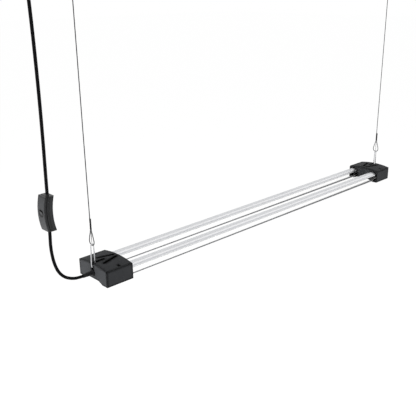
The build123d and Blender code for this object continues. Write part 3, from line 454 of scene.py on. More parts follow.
@dataclass(frozen=True)
class BoardMask:
    """Printed board under solder mask, with slightly raised copper tracks along it."""

    name: str
    colour: str
    track: str
    track_mm: float
    track_depth_mm: float = 0.04
    roughness: float = 0.35

    def make(self) -> bpy.types.Material:
        """Builds the material."""
        material, tree = blank_material(self.name)
        wave = add_node(
            tree,
            "TexWave",
            {
                "wave_type": "BANDS",
                "bands_direction": "Y",
                "Scale": 1 / (self.track_mm * MM) / 6.3,
                "Distortion": 0.0,
            },
            {"Vector": object_pattern(tree)},
        )
        blotch = grain(tree, 5.0, 2.0)
        mask, track = linear(self.colour), linear(self.track)
        tracks = add_node(
            tree,
            "ValToRGB",
            {"stops": [(0.0, mask), (0.86, mask), (0.93, track)]},
            {"Fac": wave.outputs["Fac"]},
        )
        surface(
            tree,
            {"IOR": 1.5},
            tracks.outputs["Color"],
            relief=(0.4, self.track_depth_mm, wave.outputs["Fac"]),
            rough=(self.roughness - 0.05, self.roughness + 0.1, blotch),
            span=(0.0, 1.0),
        )
        return material


@dataclass(frozen=True)
class PhosphorResin:
    """Silicone resin loaded with yellow phosphor over each LED chip: soft, faintly mottled."""

    name: str = "phosphor_resin"
    colour: str = "f2c94a"
    shade: str = "e0ac2f"
    mottle_mm: float = 0.6
    mottle_depth_mm: float = 0.02

    def make(self) -> bpy.types.Material:
        """Builds the material."""
        material, tree = blank_material(self.name)
        mottle = grain(tree, self.mottle_mm, 3.0)
        colour = add_node(
            tree,
            "ValToRGB",
            {"stops": [(0.35, linear(self.shade)), (0.65, linear(self.colour))]},
            {"Fac": mottle},
        )
        surface(
            tree,
            {"IOR": 1.41, "Roughness": 0.25, "Subsurface Weight": 0.2, "Subsurface Scale": 0.0005},
            colour.outputs["Color"],
            relief=(0.3, self.mottle_depth_mm, mottle),
        )
        return material


@dataclass(frozen=True)
class Finishes:
    """Every finish on the object, each built once."""

    cap_abs: MouldedPlastic = MouldedPlastic(
        "black_abs_cap",
        "434446",
        "3e3f41",
        grain_mm=1.3,
        roughness=0.55,
        gloss=0.04,
        # Painted shade along its edges and in its grooves and gaps.
        painted_shade_mm=6.0,
        painted_shade_level=0.1,
    )
    inner_abs: MouldedPlastic = MouldedPlastic(
        "black_abs_inner",
        "2a2a2b",
        "242425",
        grain_mm=1.6,
        grain_depth_mm=0.04,
        roughness=0.6,
        gloss=0.25,
    )
    switch_abs: MouldedPlastic = MouldedPlastic(
        "black_abs_switch",
        "2f3032",
        "292a2c",
        grain_mm=1.0,
        grain_depth_mm=0.04,
        roughness=0.38,
        # Painted shade along its edges and in its grooves and gaps.
        painted_shade_mm=5.0,
        painted_shade_level=0.05,
    )
    plug_pvc: MouldedPlastic = MouldedPlastic(
        "black_pvc_plug", "1f1f21", "19191b", grain_mm=1.2, gloss=0.2
    )
    crimp_sleeve: MouldedPlastic = MouldedPlastic(
        "shrink_sleeve",
        "121213",
        "0d0d0e",
        grain_mm=0.8,
        grain_depth_mm=0.04,
        roughness=0.45,
        gloss=0.1,
    )
    white_nylon: MouldedPlastic = MouldedPlastic(
        "white_nylon_frame", "ecebe6", "e2e0da", grain_mm=0.8, grain_depth_mm=0.03, gloss=0.4
    )
    terminal_nylon: MouldedPlastic = MouldedPlastic(
        "grey_nylon_terminal", "b9bcb8", "aeb1ad", grain_mm=0.9, grain_depth_mm=0.03, gloss=0.4
    )
    capacitor_sleeve: MouldedPlastic = MouldedPlastic(
        "capacitor_sleeve",
        "20242c",
        "191c22",
        grain_mm=1.4,
        grain_depth_mm=0.02,
        roughness=0.3,
        gloss=0.5,
    )
    ferrite: MouldedPlastic = MouldedPlastic(
        "sintered_ferrite", "3a3632", "2c2926", grain_mm=0.7, grain_depth_mm=0.08, roughness=0.7
    )
    sheath: SoftSheath = SoftSheath("black_pvc_sheath", "0e0e0f", "08080a")
    wire_sheath: SoftSheath = SoftSheath("red_pvc_wire", "b5342c", "9c2a24", ripple_mm=1.5)
    aluminium: ExtrudedAluminium = ExtrudedAluminium()
    clear: ClearPolycarbonate = ClearPolycarbonate()
    bright_wire: WorkedMetal = WorkedMetal("bright_nickel_wire", "d9d9da", "c4c5c8", 0.22)
    rope_steel: WorkedMetal = WorkedMetal("galvanised_rope", "4a4b4d", "343537", 0.42, rim=0.2)
    hook_steel: WorkedMetal = WorkedMetal("zinc_plated_hook", "c4c7cb", "a5a9b0", 0.3)
    screw_steel: WorkedMetal = WorkedMetal("blackened_screw", "3b3b3d", "29292b", 0.4)
    brass: WorkedMetal = WorkedMetal("brass_blade", "d8b566", "c49d4c", 0.28)
    white_board: BoardMask = BoardMask("white_led_board", "f1f0ea", "dcd9cc", track_mm=4.0)
    green_board: BoardMask = BoardMask("green_driver_board", "1f5a34", "3f7a3f", track_mm=2.5)
    phosphor: PhosphorResin = PhosphorResin()


class Wardrobe:
    """Hands out each finish's material, built the first time it is asked for."""

    def __init__(self) -> None:
        """Starts with no materials built."""
        self.finishes = Finishes()
        self.built: dict[str, bpy.types.Material] = {}

    def get(self, finish: str) -> bpy.types.Material:
        """The material of a finish, by its field's name in Finishes."""
        if finish not in self.built:
            self.built[finish] = getattr(self.finishes, finish).make()
        return self.built[finish]

    def dress(self, finishes: dict[str, str], prefix: str = "") -> None:
        """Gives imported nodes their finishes, on the nodes' own slots.

        Args:
            finishes: The nodes' names, and the finish of each.
            prefix: What stands before each of the names.
        """
        for node, finish in finishes.items():
            materials = bpy.data.objects[prefix + node].data.materials
            materials.clear()
            materials.append(self.get(finish))
            log.info("node %s: %s", prefix + node, finish)


# Meshes
def turned(profile: list[tuple[float, float]], place: Matrix, steps: int = 32) -> bmesh.types.BMesh:
    """Turns a profile into a closed round body.

    Args:
        profile: Height and radius of each corner in millimetres, from axis to axis.
        place: Where the body's base stands and which way its Z axis points, in metres.
        steps: Flats round the body.

    Returns:
        The new mesh.
    """
    body = bmesh.new()
    outline = [body.verts.new((radius * MM, 0, height * MM)) for height, radius in profile]
    edges = [body.edges.new(pair) for pair in zip(outline, outline[1:])]
    bmesh.ops.spin(
        body,
        geom=outline + edges,
        cent=(0, 0, 0),
        axis=(0, 0, 1),
        angle=2 * pi,
        steps=steps,
        use_merge=True,
        use_duplicate=False,
    )
    bmesh.ops.remove_doubles(body, verts=body.verts, dist=1e-6)
    bmesh.ops.recalc_face_normals(body, faces=body.faces)
    bmesh.ops.transform(body, matrix=place, verts=body.verts)
    return body


def block(low: Point, high: Point, round_mm: float, steps: int = 3) -> bmesh.types.BMesh:
    """A box between two corners in millimetres, with its edges rounded."""
    body = bmesh.new()
    size = Vector(high) - Vector(low)
    middle = (Vector(high) + Vector(low)) / 2
    bmesh.ops.create_cube(body, size=1.0)
    bmesh.ops.scale(body, vec=size * MM, verts=body.verts)
    bmesh.ops.bevel(
        body,
        geom=body.edges,
        offset=round_mm * MM,
        segments=steps,
        profile=0.5,
        affect="EDGES",
        material=-1,
    )
    bmesh.ops.translate(body, vec=middle * MM, verts=body.verts)
    return body


def bridged(rings: list[Matrix], steps: int = 28) -> bmesh.types.BMesh:
    """Bridges a row of circles into one closed skin.

    Args:
        rings: A matrix in metres for each unit circle, from one end of the body to the other.
        steps: Corners of each circle.

    Returns:
        The new mesh.
    """
    body = bmesh.new()
    loops = []
    for place in rings:
        made = bmesh.ops.create_circle(
            body, cap_ends=False, segments=steps, radius=1.0, matrix=place
        )
        rim = set(made["verts"])
        loops.append([e for e in body.edges if set(e.verts) <= rim])
    for first, second in zip(loops, loops[1:]):
        bmesh.ops.bridge_loops(body, edges=first + second)
    bmesh.ops.holes_fill(body, edges=body.edges, sides=steps)
    bmesh.ops.recalc_face_normals(body, faces=body.faces)
    return body


def joined(bodies: list[bmesh.types.BMesh]) -> bmesh.types.BMesh:
    """Puts several meshes into the first one."""
    whole = bodies[0]
    for body in bodies[1:]:
        spare = bpy.data.meshes.new("spare")
        body.to_mesh(spare)
        whole.from_mesh(spare)
        bpy.data.meshes.remove(spare)
        body.free()
    return whole


def mesh_of(curve: bpy.types.Curve, name: str) -> bpy.types.Mesh:
    """Turns a curve into a mesh without materials, and drops the curve."""
    scratch = bpy.data.objects.new(name, curve)
    mesh = bpy.data.meshes.new_from_object(scratch)
    bpy.data.objects.remove(scratch)
    bpy.data.curves.remove(curve)
    mesh.name = name
    mesh.materials.clear()
    return mesh


def route_curve(name: str, route: list[Point], per_run: int) -> bpy.types.Curve:
    """A smooth open curve with a route's points as its control points."""
    curve = bpy.data.curves.new(name, "CURVE")
    curve.dimensions = "3D"
    spline = curve.splines.new("NURBS")
    spline.points.add(len(route) - 1)
    for point, place in zip(spline.points, route):
        point.co = (*place, 1.0)
    spline.order_u = 3
    spline.use_endpoint_u = True
    spline.resolution_u = per_run
    curve.resolution_u = per_run
    return curve


def smooth_line(route: list[Point], per_run: int) -> list[Vector]:
    """Points in metres on the smooth line through a given route in metres."""
    mesh = mesh_of(route_curve("route", route, per_run), "route")
    line = [v.co.copy() for v in mesh.vertices]
    bpy.data.meshes.remove(mesh)
    return line


def millimetres(points: list[Point]) -> list[Point]:
    """Points given in millimetres, in metres."""
    return [(x * MM, y * MM, z * MM) for x, y, z in points]


@dataclass
class Piece:
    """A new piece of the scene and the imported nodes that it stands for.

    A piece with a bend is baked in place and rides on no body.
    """

    name: str
    body: str
    slot: str
    replaces: tuple[str, ...] = ()
    smooth_angle: float = 35.0
    bend: tuple[str, Point, Point] | None = None

    def finish(
        self, mesh: bmesh.types.BMesh, materials: list[bpy.types.Material]
    ) -> bpy.types.Object:
        """Makes the object, sets it on its body unless it has a bend, and hides the nodes that it
        replaces.

        Args:
            mesh: The piece's shape, in place.
            materials: Its materials, in the order of the faces' indices.

        Returns:
            The new object.
        """
        data = bpy.data.meshes.new(self.name)
        mesh.to_mesh(data)
        mesh.free()
        return self.finish_data(data, materials)

    def finish_data(
        self, data: bpy.types.Mesh, materials: list[bpy.types.Material]
    ) -> bpy.types.Object:
        """The same for a shape that is already a mesh."""
        for material in materials:
            data.materials.append(material)
        data.polygons.foreach_set("use_smooth", [True] * len(data.polygons))
        data.set_sharp_from_angle(angle=radians(self.smooth_angle))
        thing = bpy.data.objects.new(self.name, data)
        bpy.context.scene.collection.objects.link(thing)
        if self.bend is None:
            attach(thing, self.body)
        else:
            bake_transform(thing)
        if self.replaces:
            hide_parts(*self.replaces)
        log.info("piece %s: %d faces on %s", self.name, len(data.polygons), self.body)
        return thing


class End(Enum):
    """The two ends of the bar."""

    LEFT = -1
    RIGHT = 1

    @property
    def word(self) -> str:
        """The end's name in node names."""
        return self.name.lower()


# The stage
@dataclass(frozen=True)
class Lamp:
    """A soft square lamp that faces a point.

    Its place, the point that it faces and its side are in metres, and its power is in watts.
    """

    name: str
    place: Point
    target: Point
    size: float
    watts: float

    def build(self) -> bpy.types.Object:
        """Hangs the lamp in the scene."""
        data = bpy.data.lights.new(self.name, "AREA")
        data.size = self.size
        data.energy = self.watts
        lamp = bpy.data.objects.new(self.name, data)
        lamp.location = self.place
        aim = Vector(self.target) - Vector(self.place)
        lamp.rotation_euler = aim.to_track_quat("-Z", "Y").to_euler()
        lamp.visible_glossy = False
        bpy.context.scene.collection.objects.link(lamp)
        return lamp


@dataclass
class Studio:
    """Camera at the photograph's view, a plain white room and soft lamps from left and front."""

    camera_place: Point = (-1.0868, -0.9344, -0.1161)
    yaw: float = 43.898
    pitch: float = 19.578
    roll: float = -0.574
    lens: float = 54.0
    floor_height: float = -1.7
    floor_size: float = 60.0
    floor_white: float = 0.92
    floor_greys: tuple[float, float] = (0.75, 0.3)
    room_level: float = 0.25
    lamps: tuple[Lamp, ...] = (
        Lamp("left_lamp", (-1.7, 0.2, -0.5), (-0.5, 0.0, -0.62), size=0.9, watts=22.0),
        Lamp("front_lamp", (0.1, -2.9, -0.1), (0.0, 0.0, -0.6), size=1.7, watts=40.0),
        Lamp("top_lamp", (0.3, 0.6, 2.2), (0.0, 0.0, -0.6), size=1.8, watts=9.0),
    )

    def build(self) -> None:
        """Makes the camera, the room and the lamps."""
        self.camera()
        self.world()
        self.floor()
        for lamp in self.lamps:
            lamp.build()

    def camera(self) -> None:
        """Stands the camera where the photograph was taken from."""
        yaw, pitch, roll = radians(self.yaw), radians(self.pitch), radians(self.roll)
        forward = Vector((sin(yaw) * cos(pitch), cos(yaw) * cos(pitch), -sin(pitch)))
        right = Vector((cos(yaw), -sin(yaw), 0))
        up = right.cross(forward)
        level_x = cos(roll) * right + sin(roll) * up
        level_y = -sin(roll) * right + cos(roll) * up
        turn = Matrix((level_x, level_y, -forward)).transposed()
        data = bpy.data.cameras.new("photo_camera")
        data.lens = self.lens
        data.sensor_width = 36.0
        data.clip_start = 0.05
        data.clip_end = 100.0
        camera = bpy.data.objects.new("photo_camera", data)
        camera.matrix_world = Matrix.Translation(self.camera_place) @ turn.to_4x4()
        bpy.context.scene.collection.objects.link(camera)
        bpy.context.scene.camera = camera

    def seen_directly(self, tree: bpy.types.NodeTree) -> bpy.types.NodeSocket:
        """One for rays from the camera, a mirror or through a clear body, and nought for light."""
        path = add_node(tree, "LightPath", {}, {})
        either = add_node(
            tree,
            "Math",
            {"operation": "MAXIMUM"},
            {0: path.outputs["Is Camera Ray"], 1: path.outputs["Is Glossy Ray"]},
        )
        return add_node(
            tree,
            "Math",
            {"operation": "MAXIMUM"},
            {0: either.outputs[0], 1: path.outputs["Is Transmission Ray"]},
        ).outputs[0]

    def world(self) -> None:
        """White where it is seen, and a softer level where it lights the object."""
        world = bpy.data.worlds.new("white_room")
        bpy.context.scene.world = world
        world.use_nodes = True
        tree = world.node_tree
        tree.nodes.clear()
        level = add_node(
            tree,
            "MapRange",
            {"To Min": self.room_level, "To Max": 1.0},
            {"Value": self.seen_directly(tree)},
        )
        sky = add_node(tree, "Background", {"Color": WHITE}, {"Strength": level.outputs["Result"]})
        add_node(tree, "OutputWorld", {}, {"Surface": sky.outputs["Background"]})

    def floor(self) -> None:
        """A pale floor far below, white where it is seen but for the object's shadow."""
        ground = bmesh.new()
        bmesh.ops.create_grid(ground, x_segments=4, y_segments=4, size=self.floor_size / 2)
        bmesh.ops.translate(ground, vec=(0, 0, self.floor_height), verts=ground.verts)
        data = bpy.data.meshes.new("floor")
        ground.to_mesh(data)
        ground.free()
        material, tree = blank_material("pale_floor")
        path = self.seen_directly(tree)
        lit, seen = self.floor_greys
        matt = add_node(tree, "BsdfDiffuse", {"Color": (lit, lit, lit, 1)}, {})
        thin = add_node(tree, "BsdfDiffuse", {"Color": (seen, seen, seen, 1)}, {})
        glow = add_node(tree, "Emission", {"Color": WHITE, "Strength": self.floor_white}, {})
        both = add_node(
            tree, "AddShader", {}, {0: thin.outputs["BSDF"], 1: glow.outputs["Emission"]}
        )
        mix = add_node(
            tree,
            "MixShader",
            {},
            {"Fac": path, 1: matt.outputs["BSDF"], 2: both.outputs["Shader"]},
        )
        add_node(tree, "OutputMaterial", {}, {"Surface": mix.outputs["Shader"]})
        data.materials.append(material)
        floor = bpy.data.objects.new("floor", data)
        bpy.context.scene.collection.objects.link(floor)


# The object
@dataclass
class MainsLead:
    """The lead: gland with its ringed boot, the stretch to the switch and the run to the plug.

    Each route has the distance out from the bar's end and the height above where it starts.
    """

    wardrobe: Wardrobe
    diameter: float = 6.0
    switch_top: float = -454.5
    gland_height: float = -630.2
    lower_route: list[tuple[float, float]] = field(
        default_factory=lambda: [
            (22.6, 0.0),
            (35.0, 0.2),
            (49.0, 4.4),
            (62.0, 12.0),
            (72.6, 25.3),
            (79.1, 43.9),
            (82.2, 64.0),
            (83.0, 83.0),
            (82.0, 98.5),
            (81.8, 111.5),
        ]
    )
    upper_route: list[tuple[float, float]] = field(
        default_factory=lambda: [
            (79.5, 0.9),
            (78.9, 33.0),
            (77.4, 88.0),
            (76.3, 160.0),
            (76.2, 238.0),
            (77.2, 318.0),
            (79.5, 391.6),
        ]
    )

    def build(self) -> dict[str, bpy.types.Object | list[Vector]]:
        """Makes gland and cords, and returns them by name, with the lower cord's line."""
        lower = [(-BAR_END - out, 0.0, self.gland_height + up) for out, up in self.lower_route]
        upper = [(-BAR_END - out, 0.0, self.switch_top + up) for out, up in self.upper_route]
        return {
            "gland": self.gland(),
            "lower": self.bending_cord(millimetres(lower)),
            "lower_line": smooth_line(millimetres(lower), 16),
            "upper": self.hanging_cord(millimetres(upper)),
        }

    def round_curve(self, name: str, route: list[Point]) -> bpy.types.Curve:
        """A cord's round curve along a route in metres."""
        curve = route_curve(name, route, 16)
        curve.bevel_depth = self.diameter / 2 * MM
        curve.bevel_resolution = 5
        curve.use_fill_caps = True
        return curve

    def hanging_cord(self, route: list[Point]) -> bpy.types.Object:
        """The stretch from switch to plug, as a curve."""
        curve = self.round_curve("lead_upper_cord", route)
        curve.materials.append(self.wardrobe.get("sheath"))
        cord = bpy.data.objects.new("lead_upper_cord", curve)
        bpy.context.scene.collection.objects.link(cord)
        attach(cord, "upper_lead")
        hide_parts("lead_upper")
        log.info("cord %s: %d route points", cord.name, len(route))
        return cord

    def bending_cord(self, route: list[Point]) -> bpy.types.Object:
        """The stretch from gland to switch, as a mesh baked in place on no body."""
        data = mesh_of(self.round_curve("lower", route), "lead_lower_cord")
        piece = Piece("lead_lower_cord", "light", "lead_rubber", ("lead_lower",), 60.0)
        piece.bend = ("cable_ends", route[0], route[-1])
        return piece.finish_data(data, [self.wardrobe.get("sheath")])

    def declare(self, made: dict, plug: bpy.types.Object) -> None:
        """Does nothing.

        Args:
            made: What build returned; not used.
            plug: The plug's body; not used.
        """

    def gland(self) -> bpy.types.Object:
        """The bush in the cap's wall: collar, neck, rounded flange and a ringed tapering boot.

        The profile has heights and radii in millimetres, outwards from the cap's inside.
        """
        profile = [(0.0, 0.0), (0.0, 5.0), (2.6, 5.0), (2.6, 4.5), (4.8, 4.5), (4.8, 5.9)]
        profile += [(5.2, 6.5), (6.8, 6.5), (7.2, 6.2), (7.4, 5.8), (7.4, 4.6)]
        for ring in range(6):
            start = 7.9 + ring * 3.1
            radius = 4.5 - ring * 0.14
            profile += [(start, radius), (start + 1.6, radius - 0.08)]
            profile += [(start + 1.9, radius - 0.45), (start + 2.8, radius - 0.48)]
        profile += [(26.6, 3.7), (27.2, 3.6), (27.4, 3.3), (27.4, 0.0)]
        place = Matrix.Translation(((-BAR_END + 4.8) * MM, 0, self.gland_height * MM))
        place = place @ Euler((0, radians(-90), 0)).to_matrix().to_4x4()
        piece = Piece("gland_with_boot", "light", "lead_rubber", ("lead_gland",))
        return piece.finish(turned(profile, place), [self.wardrobe.get("plug_pvc")])


@dataclass
class SteelRope:
    """One suspension rope: hook, upper loop, sleeve, long run, sleeve and lower loop."""

    wardrobe: Wardrobe
    end: End
    rope_radius: float = 0.9
    strands: int = 6
    strand_share: float = 0.36
    strand_step: float = 0.9
    core_step: float = 40.0
    lay: float = 9.0
    half_pitch: float = 0.95
    top: float = -128.5
    bottom: float = -521.0
    sleeve_length: float = 21.5
    sleeve_halves: tuple[float, float] = (1.45, 2.3)
    thread_turns: int = 8
    thread_pitch: float = 2.4
    thread_foot: float = 2.5
    loop_radius: float = 7.6
    loop_girth: float = 8.35
    lower_bend: float = -574.5
    lower_mouth: float = -542.5
    upper_bend: float = -58.8
    upper_mouth: float = -107.0

    @property
    def x(self) -> float:
        """Where the rope hangs along the bar, in millimetres."""
        return self.end.value * HANGER_X

    def build(self) -> dict[str, bpy.types.Object | list[Vector]]:
        """Makes the rope's pieces and returns them by name, with the long run's line."""
        word = self.end.word
        rope_body = f"{word}_cable"
        heights = (self.bottom + 0.3, (self.bottom + self.top) / 2, self.top - 0.3)
        run = [(self.x, self.half_pitch, height) for height in heights]
        line = smooth_line(millimetres(run), 120)
        return {
            "rope": self.twisted(f"{word}_rope_strands", rope_body, f"{word}_rope", line),
            "line": line,
            "lower_loop": self.loop("lower", "cable_ends", self.lower_bend, 1),
            "upper_loop": self.loop("upper", "upper_loops", self.upper_bend, -1),
            "lower_sleeve": self.sleeve("lower", "cable_ends", self.bottom - self.sleeve_length),
            "upper_sleeve": self.sleeve("upper", "upper_loops", self.top),
        }

    def declare(self, made: dict) -> None:
        """Does nothing."""

    def loop(self, level: str, body: str, bend: float, up: int) -> bpy.types.Object:
        """The teardrop loop past a sleeve.

        Args:
            level: "lower" or "upper".
            body: The body that it rides on.
            bend: Height of the loop's far end, at the middle of the wire, in millimetres.
            up: 1 where the sleeve is above the loop, and -1 where it is below.

        Returns:
            The loop of twisted strands.
        """
        sleeve = self.lower_mouth if up > 0 else self.upper_mouth
        middle = bend + up * self.loop_radius
        near = middle + up * (abs(sleeve - middle) * 0.32)
        half = [
            (self.half_pitch, sleeve + up * 1.0),
            (self.half_pitch, sleeve - up * 0.8),
            (6.2, near),
            (self.loop_girth, middle - up * 1.5),
            (3.8, bend),
        ]
        route = [(self.x, y, z) for y, z in half] + [(self.x, -y, z) for y, z in reversed(half)]
        word = self.end.word
        line = smooth_line(millimetres(route), 12)
        return self.twisted(f"{word}_{level}_loop_strands", body, f"{word}_{level}_loop", line)

    def twisted(self, name: str, body: str, node: str, line: list[Vector]) -> bpy.types.Object:
        """Strands laid round a line, as in a steel rope.

        Args:
            name: The piece's name.
            body: The body that it rides on.
            node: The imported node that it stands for.
            line: Points of the rope's middle, in metres.

        Returns:
            The rope as one mesh.
        """
        strand_radius = self.rope_radius * self.strand_share
        ring = (self.rope_radius - strand_radius) * MM
        curve = bpy.data.curves.new(name, "CURVE")
        curve.dimensions = "3D"
        curve.bevel_depth = strand_radius * MM
        curve.bevel_resolution = 1
        curve.use_fill_caps = True
        along = [0.0]
        for first, second in zip(line, line[1:]):
            along.append(along[-1] + (second - first).length)
        sideways = Vector((1, 0, 0))
        for strand in range(self.strands + 1):
            core = strand == self.strands
            places = []
            pace = (self.core_step if core else self.strand_step) * MM
            count = max(2, int(along[-1] / pace))
            for step in range(count + 1):
                far = along[-1] * step / count
                here, heading = self.on_line(line, along, far)
                if core:
                    places.append(here)
                    continue
                turn = 2 * pi * (strand / self.strands + far / (self.lay * MM))
                across = heading.cross(sideways).normalized()
                places.append(here + ring * (cos(turn) * sideways + sin(turn) * across))
            spline = curve.splines.new("POLY")
            spline.points.add(len(places) - 1)
            for point, place in zip(spline.points, places):
                point.co = (*place, 1.0)
        piece = Piece(name, body, "rope_steel", (node,), 60.0)
        return piece.finish_data(mesh_of(curve, name), [self.wardrobe.get("rope_steel")])

    def on_line(self, line: list[Vector], along: list[float], far: float) -> tuple[Vector, Vector]:
        """The point and heading at a distance along a line."""
        index = min(max(bisect_left(along, far) - 1, 0), len(along) - 2)
        first, second = line[index], line[index + 1]
        length = along[index + 1] - along[index]
        share = min(1.0, max(0.0, (far - along[index]) / length))
        return first.lerp(second, share), (second - first).normalized()

    def sleeve(self, level: str, body: str, low: float) -> bpy.types.Object:
        """A crimped sleeve round both strands, pinched where the tool bit.

        Args:
            level: "lower" or "upper".
            body: The body that it rides on.
            low: Height of its lower end, in millimetres.

        Returns:
            The sleeve.
        """
        word = self.end.word
        pinch = 0.86
        waists = [(0.0, 0.8), (0.3, 0.94), (0.8, 1.0), (3.2, 1.0), (4.0, pinch), (6.4, pinch)]
        waists += [(7.2, 1.0), (9.4, 1.0), (10.2, pinch), (12.4, pinch), (13.2, 1.0), (15.4, 1.0)]
        waists += [(16.2, pinch), (18.4, 1.0), (20.7, 1.0), (21.2, 0.94), (21.5, 0.8)]
        half_x, half_y = self.sleeve_halves
        rings = []
        for height, girth in waists:
            deep = half_x * MM * girth
            wide = half_y * MM * (2 - girth) ** 0.35 * girth**0.6
            place = Matrix.Translation((self.x * MM, 0, (low + height) * MM))
            rings.append(place @ Matrix.Diagonal((deep, wide, MM, 1)))
        replaced = (f"{word}_{level}_ferrule",)
        piece = Piece(f"{word}_{level}_sleeve", body, "ferrule_sleeve", replaced)
        return piece.finish(bridged(rings), [self.wardrobe.get("crimp_sleeve")])

    def hook_thread(self) -> bpy.types.Object:
        """The wood-screw thread round the ceiling hook's shank."""
        thread = bmesh.new()
        crest = [
            thread.verts.new((radius * MM, 0, height * MM))
            for radius, height in ((2.35, 0.0), (2.95, 0.55), (2.35, 1.1))
        ]
        edges = [thread.edges.new((crest[i], crest[(i + 1) % 3])) for i in range(3)]
        steps = 20
        bmesh.ops.spin(
            thread,
            geom=crest + edges,
            cent=(0, 0, 0),
            axis=(0, 0, 1),
            dvec=(0, 0, self.thread_pitch * MM / steps),
            angle=2 * pi * self.thread_turns,
            steps=self.thread_turns * steps,
            use_merge=False,
            use_duplicate=False,
        )
        bmesh.ops.holes_fill(thread, edges=thread.edges, sides=3)
        bmesh.ops.recalc_face_normals(thread, faces=thread.faces)
        bmesh.ops.translate(
            thread, vec=(self.x * MM, 0, self.thread_foot * MM), verts=thread.verts
        )
        piece = Piece(f"{self.end.word}_hook_thread", "ceiling", "hook_steel")
        return piece.finish(thread, [self.wardrobe.get("hook_steel")])


@dataclass
class LampTube:
    """One tube: aluminium back, clear cover, board and its row of LEDs.

    The insets say how far in and how deep an LED's frame and then its well's slope go.
    """

    wardrobe: Wardrobe
    row: str
    pitch: float = 12.5
    led_size: Point = (3.5, 2.8, 0.7)
    insets: tuple[tuple[float, float], ...] = ((0.45, 0.0), (0.12, -0.2))

    def build(self) -> None:
        """Dresses the tube and makes its LEDs."""
        finishes = {"heat_sink": "aluminium", "tube_cover": "clear", "led_board": "white_board"}
        self.wardrobe.dress(finishes, f"{self.row}_")
        self.leds()

    def leds(self) -> bpy.types.Object:
        """The LEDs: each a white frame round a sunk well of phosphor."""
        low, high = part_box(f"{self.row}_leds")
        length, width, height = self.led_size
        count = round(((high.x - low.x) / MM - length) / self.pitch) + 1
        middle_y = (low.y + high.y) / 2
        packages = bmesh.new()
        for number in range(count):
            x = low.x + (length / 2 + number * self.pitch) * MM
            made = bmesh.ops.create_cube(packages, size=1.0)
            bmesh.ops.scale(
                packages, vec=(length * MM, width * MM, height * MM), verts=made["verts"]
            )
            bmesh.ops.translate(
                packages, vec=(x, middle_y, (low.z + high.z) / 2), verts=made["verts"]
            )
        faces = [f for f in packages.faces if f.normal.z < -0.9]
        for inward, down in self.insets:
            bmesh.ops.inset_individual(
                packages, faces=faces, thickness=inward * MM, depth=down * MM
            )
        for face in faces:
            face.material_index = 1
        piece = Piece(f"{self.row}_led_row", "light", "led_phosphor", (f"{self.row}_leds",))
        return piece.finish(
            packages, [self.wardrobe.get("white_nylon"), self.wardrobe.get("phosphor")]
        )


@dataclass
class EndCap:
    """A cap at one end of the bar, with its hanger link and pin."""

    wardrobe: Wardrobe
    end: End

    def build(self) -> None:
        """Dresses the cap's shells and what is fixed to them."""
        finishes = {
            "cap_shell": "cap_abs",
            "cap_floor": "cap_abs",
            "tube_holder": "inner_abs",
            "end_plugs": "inner_abs",
            "hanger_link": "bright_wire",
            "hanger_pin": "bright_wire",
            "ceiling_hook": "hook_steel",
        }
        self.wardrobe.dress(finishes, f"{self.end.word}_")


@dataclass
class Driver:
    """The driver inside the left cap, and the wires that go to the tubes."""

    wardrobe: Wardrobe

    def build(self) -> None:
        """Dresses the driver's nodes."""
        finishes = {
            "driver_board": "green_board",
            "driver_transformer": "ferrite",
            "driver_choke": "ferrite",
            "driver_capacitors": "capacitor_sleeve",
            "terminal_block": "terminal_nylon",
            "mains_cores": "wire_sheath",
            "feed_wires": "wire_sheath",
            "cap_screws": "screw_steel",
        }
        self.wardrobe.dress(finishes)


@dataclass
class InlineSwitch:
    """The rocker switch in the lead."""

    wardrobe: Wardrobe

    def build(self) -> None:
        """Dresses the switch's nodes."""
        finishes = {
            "switch_front_shell": "switch_abs",
            "switch_back_shell": "switch_abs",
            "switch_rocker": "switch_abs",
            "rocker_pin": "hook_steel",
            "switch_contacts": "brass",
            "switch_screws": "screw_steel",
        }
        self.wardrobe.dress(finishes)


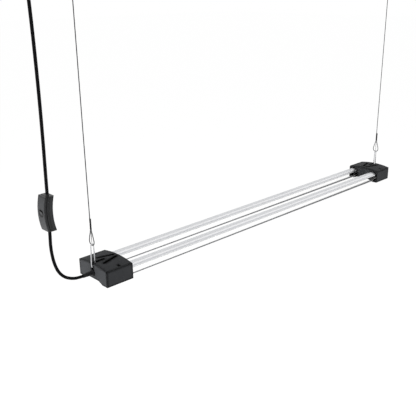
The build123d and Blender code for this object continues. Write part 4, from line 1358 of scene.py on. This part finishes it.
@dataclass
class MainsPlug:
    """The plug in its ceiling socket: rounded body with finger ribs and a ringed boot."""

    wardrobe: Wardrobe
    length: float = 36.0
    width: float = 27.0
    thickness: float = 25.0
    corner_round: float = 4.5
    boot_end: float = -62.0
    ribs: int = 4
    rib_top: float = -13.0
    rib_pitch: float = 4.6
    rib_half_length: float = 7.5
    rib_half_width: float = 0.9
    rib_depth: float = 0.9

    def build(self) -> bpy.types.Object:
        """Dresses blades and pin, and makes the body."""
        self.wardrobe.dress({"plug_blades": "brass", "plug_earth_pin": "brass"})
        return self.body()

    def body(self) -> bpy.types.Object:
        """The moulded body and boot as one piece."""
        grip = block(
            (LEAD_X - self.thickness / 2, -self.width / 2, -self.length),
            (LEAD_X + self.thickness / 2, self.width / 2, 0.0),
            self.corner_round,
            4,
        )
        parts = [grip]
        for rib in range(self.ribs):
            z = self.rib_top - rib * self.rib_pitch
            for side in (-1, 1):
                outer = side * self.width / 2
                low_y, high_y = sorted((outer, outer - side * self.rib_depth))
                parts.append(
                    block(
                        (LEAD_X - self.rib_half_length, low_y, z - self.rib_half_width),
                        (LEAD_X + self.rib_half_length, high_y, z + self.rib_half_width),
                        0.4,
                        2,
                    )
                )
        profile = [(0.0, 0.0), (0.0, 3.5), (0.3, 3.8)]
        for ring in range(6):
            start = 0.8 + ring * 4.1
            radius = 3.8 + ring * 0.46
            profile += [(start, radius), (start + 2.2, radius + 0.25)]
            profile += [(start + 2.6, radius - 0.45), (start + 3.6, radius - 0.35)]
        profile += [(26.5, 6.4), (27.5, 6.4), (27.5, 0.0)]
        place = Matrix.Translation((LEAD_X * MM, 0, self.boot_end * MM))
        parts.append(turned(profile, place))
        piece = Piece("plug_with_boot", "ceiling", "plug_plastic", ("plug_body",))
        return piece.finish(joined(parts), [self.wardrobe.get("plug_pvc")])


def main() -> None:
    logging.basicConfig(level=logging.INFO, format="%(name)s: %(message)s")
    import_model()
    bpy.context.scene.view_settings.view_transform = "Standard"
    Studio().build()
    wardrobe = Wardrobe()
    lead = MainsLead(wardrobe)
    lead_pieces = lead.build()
    for end in End:
        rope = SteelRope(wardrobe, end)
        rope_pieces = rope.build()
        rope.hook_thread()
        rope.declare(rope_pieces)
    for row in ("front", "rear"):
        LampTube(wardrobe, row).build()
    for end in End:
        EndCap(wardrobe, end).build()
    Driver(wardrobe).build()
    InlineSwitch(wardrobe).build()
    plug = MainsPlug(wardrobe).build()
    lead.declare(lead_pieces, plug)


if __name__ == "__main__":
    main()
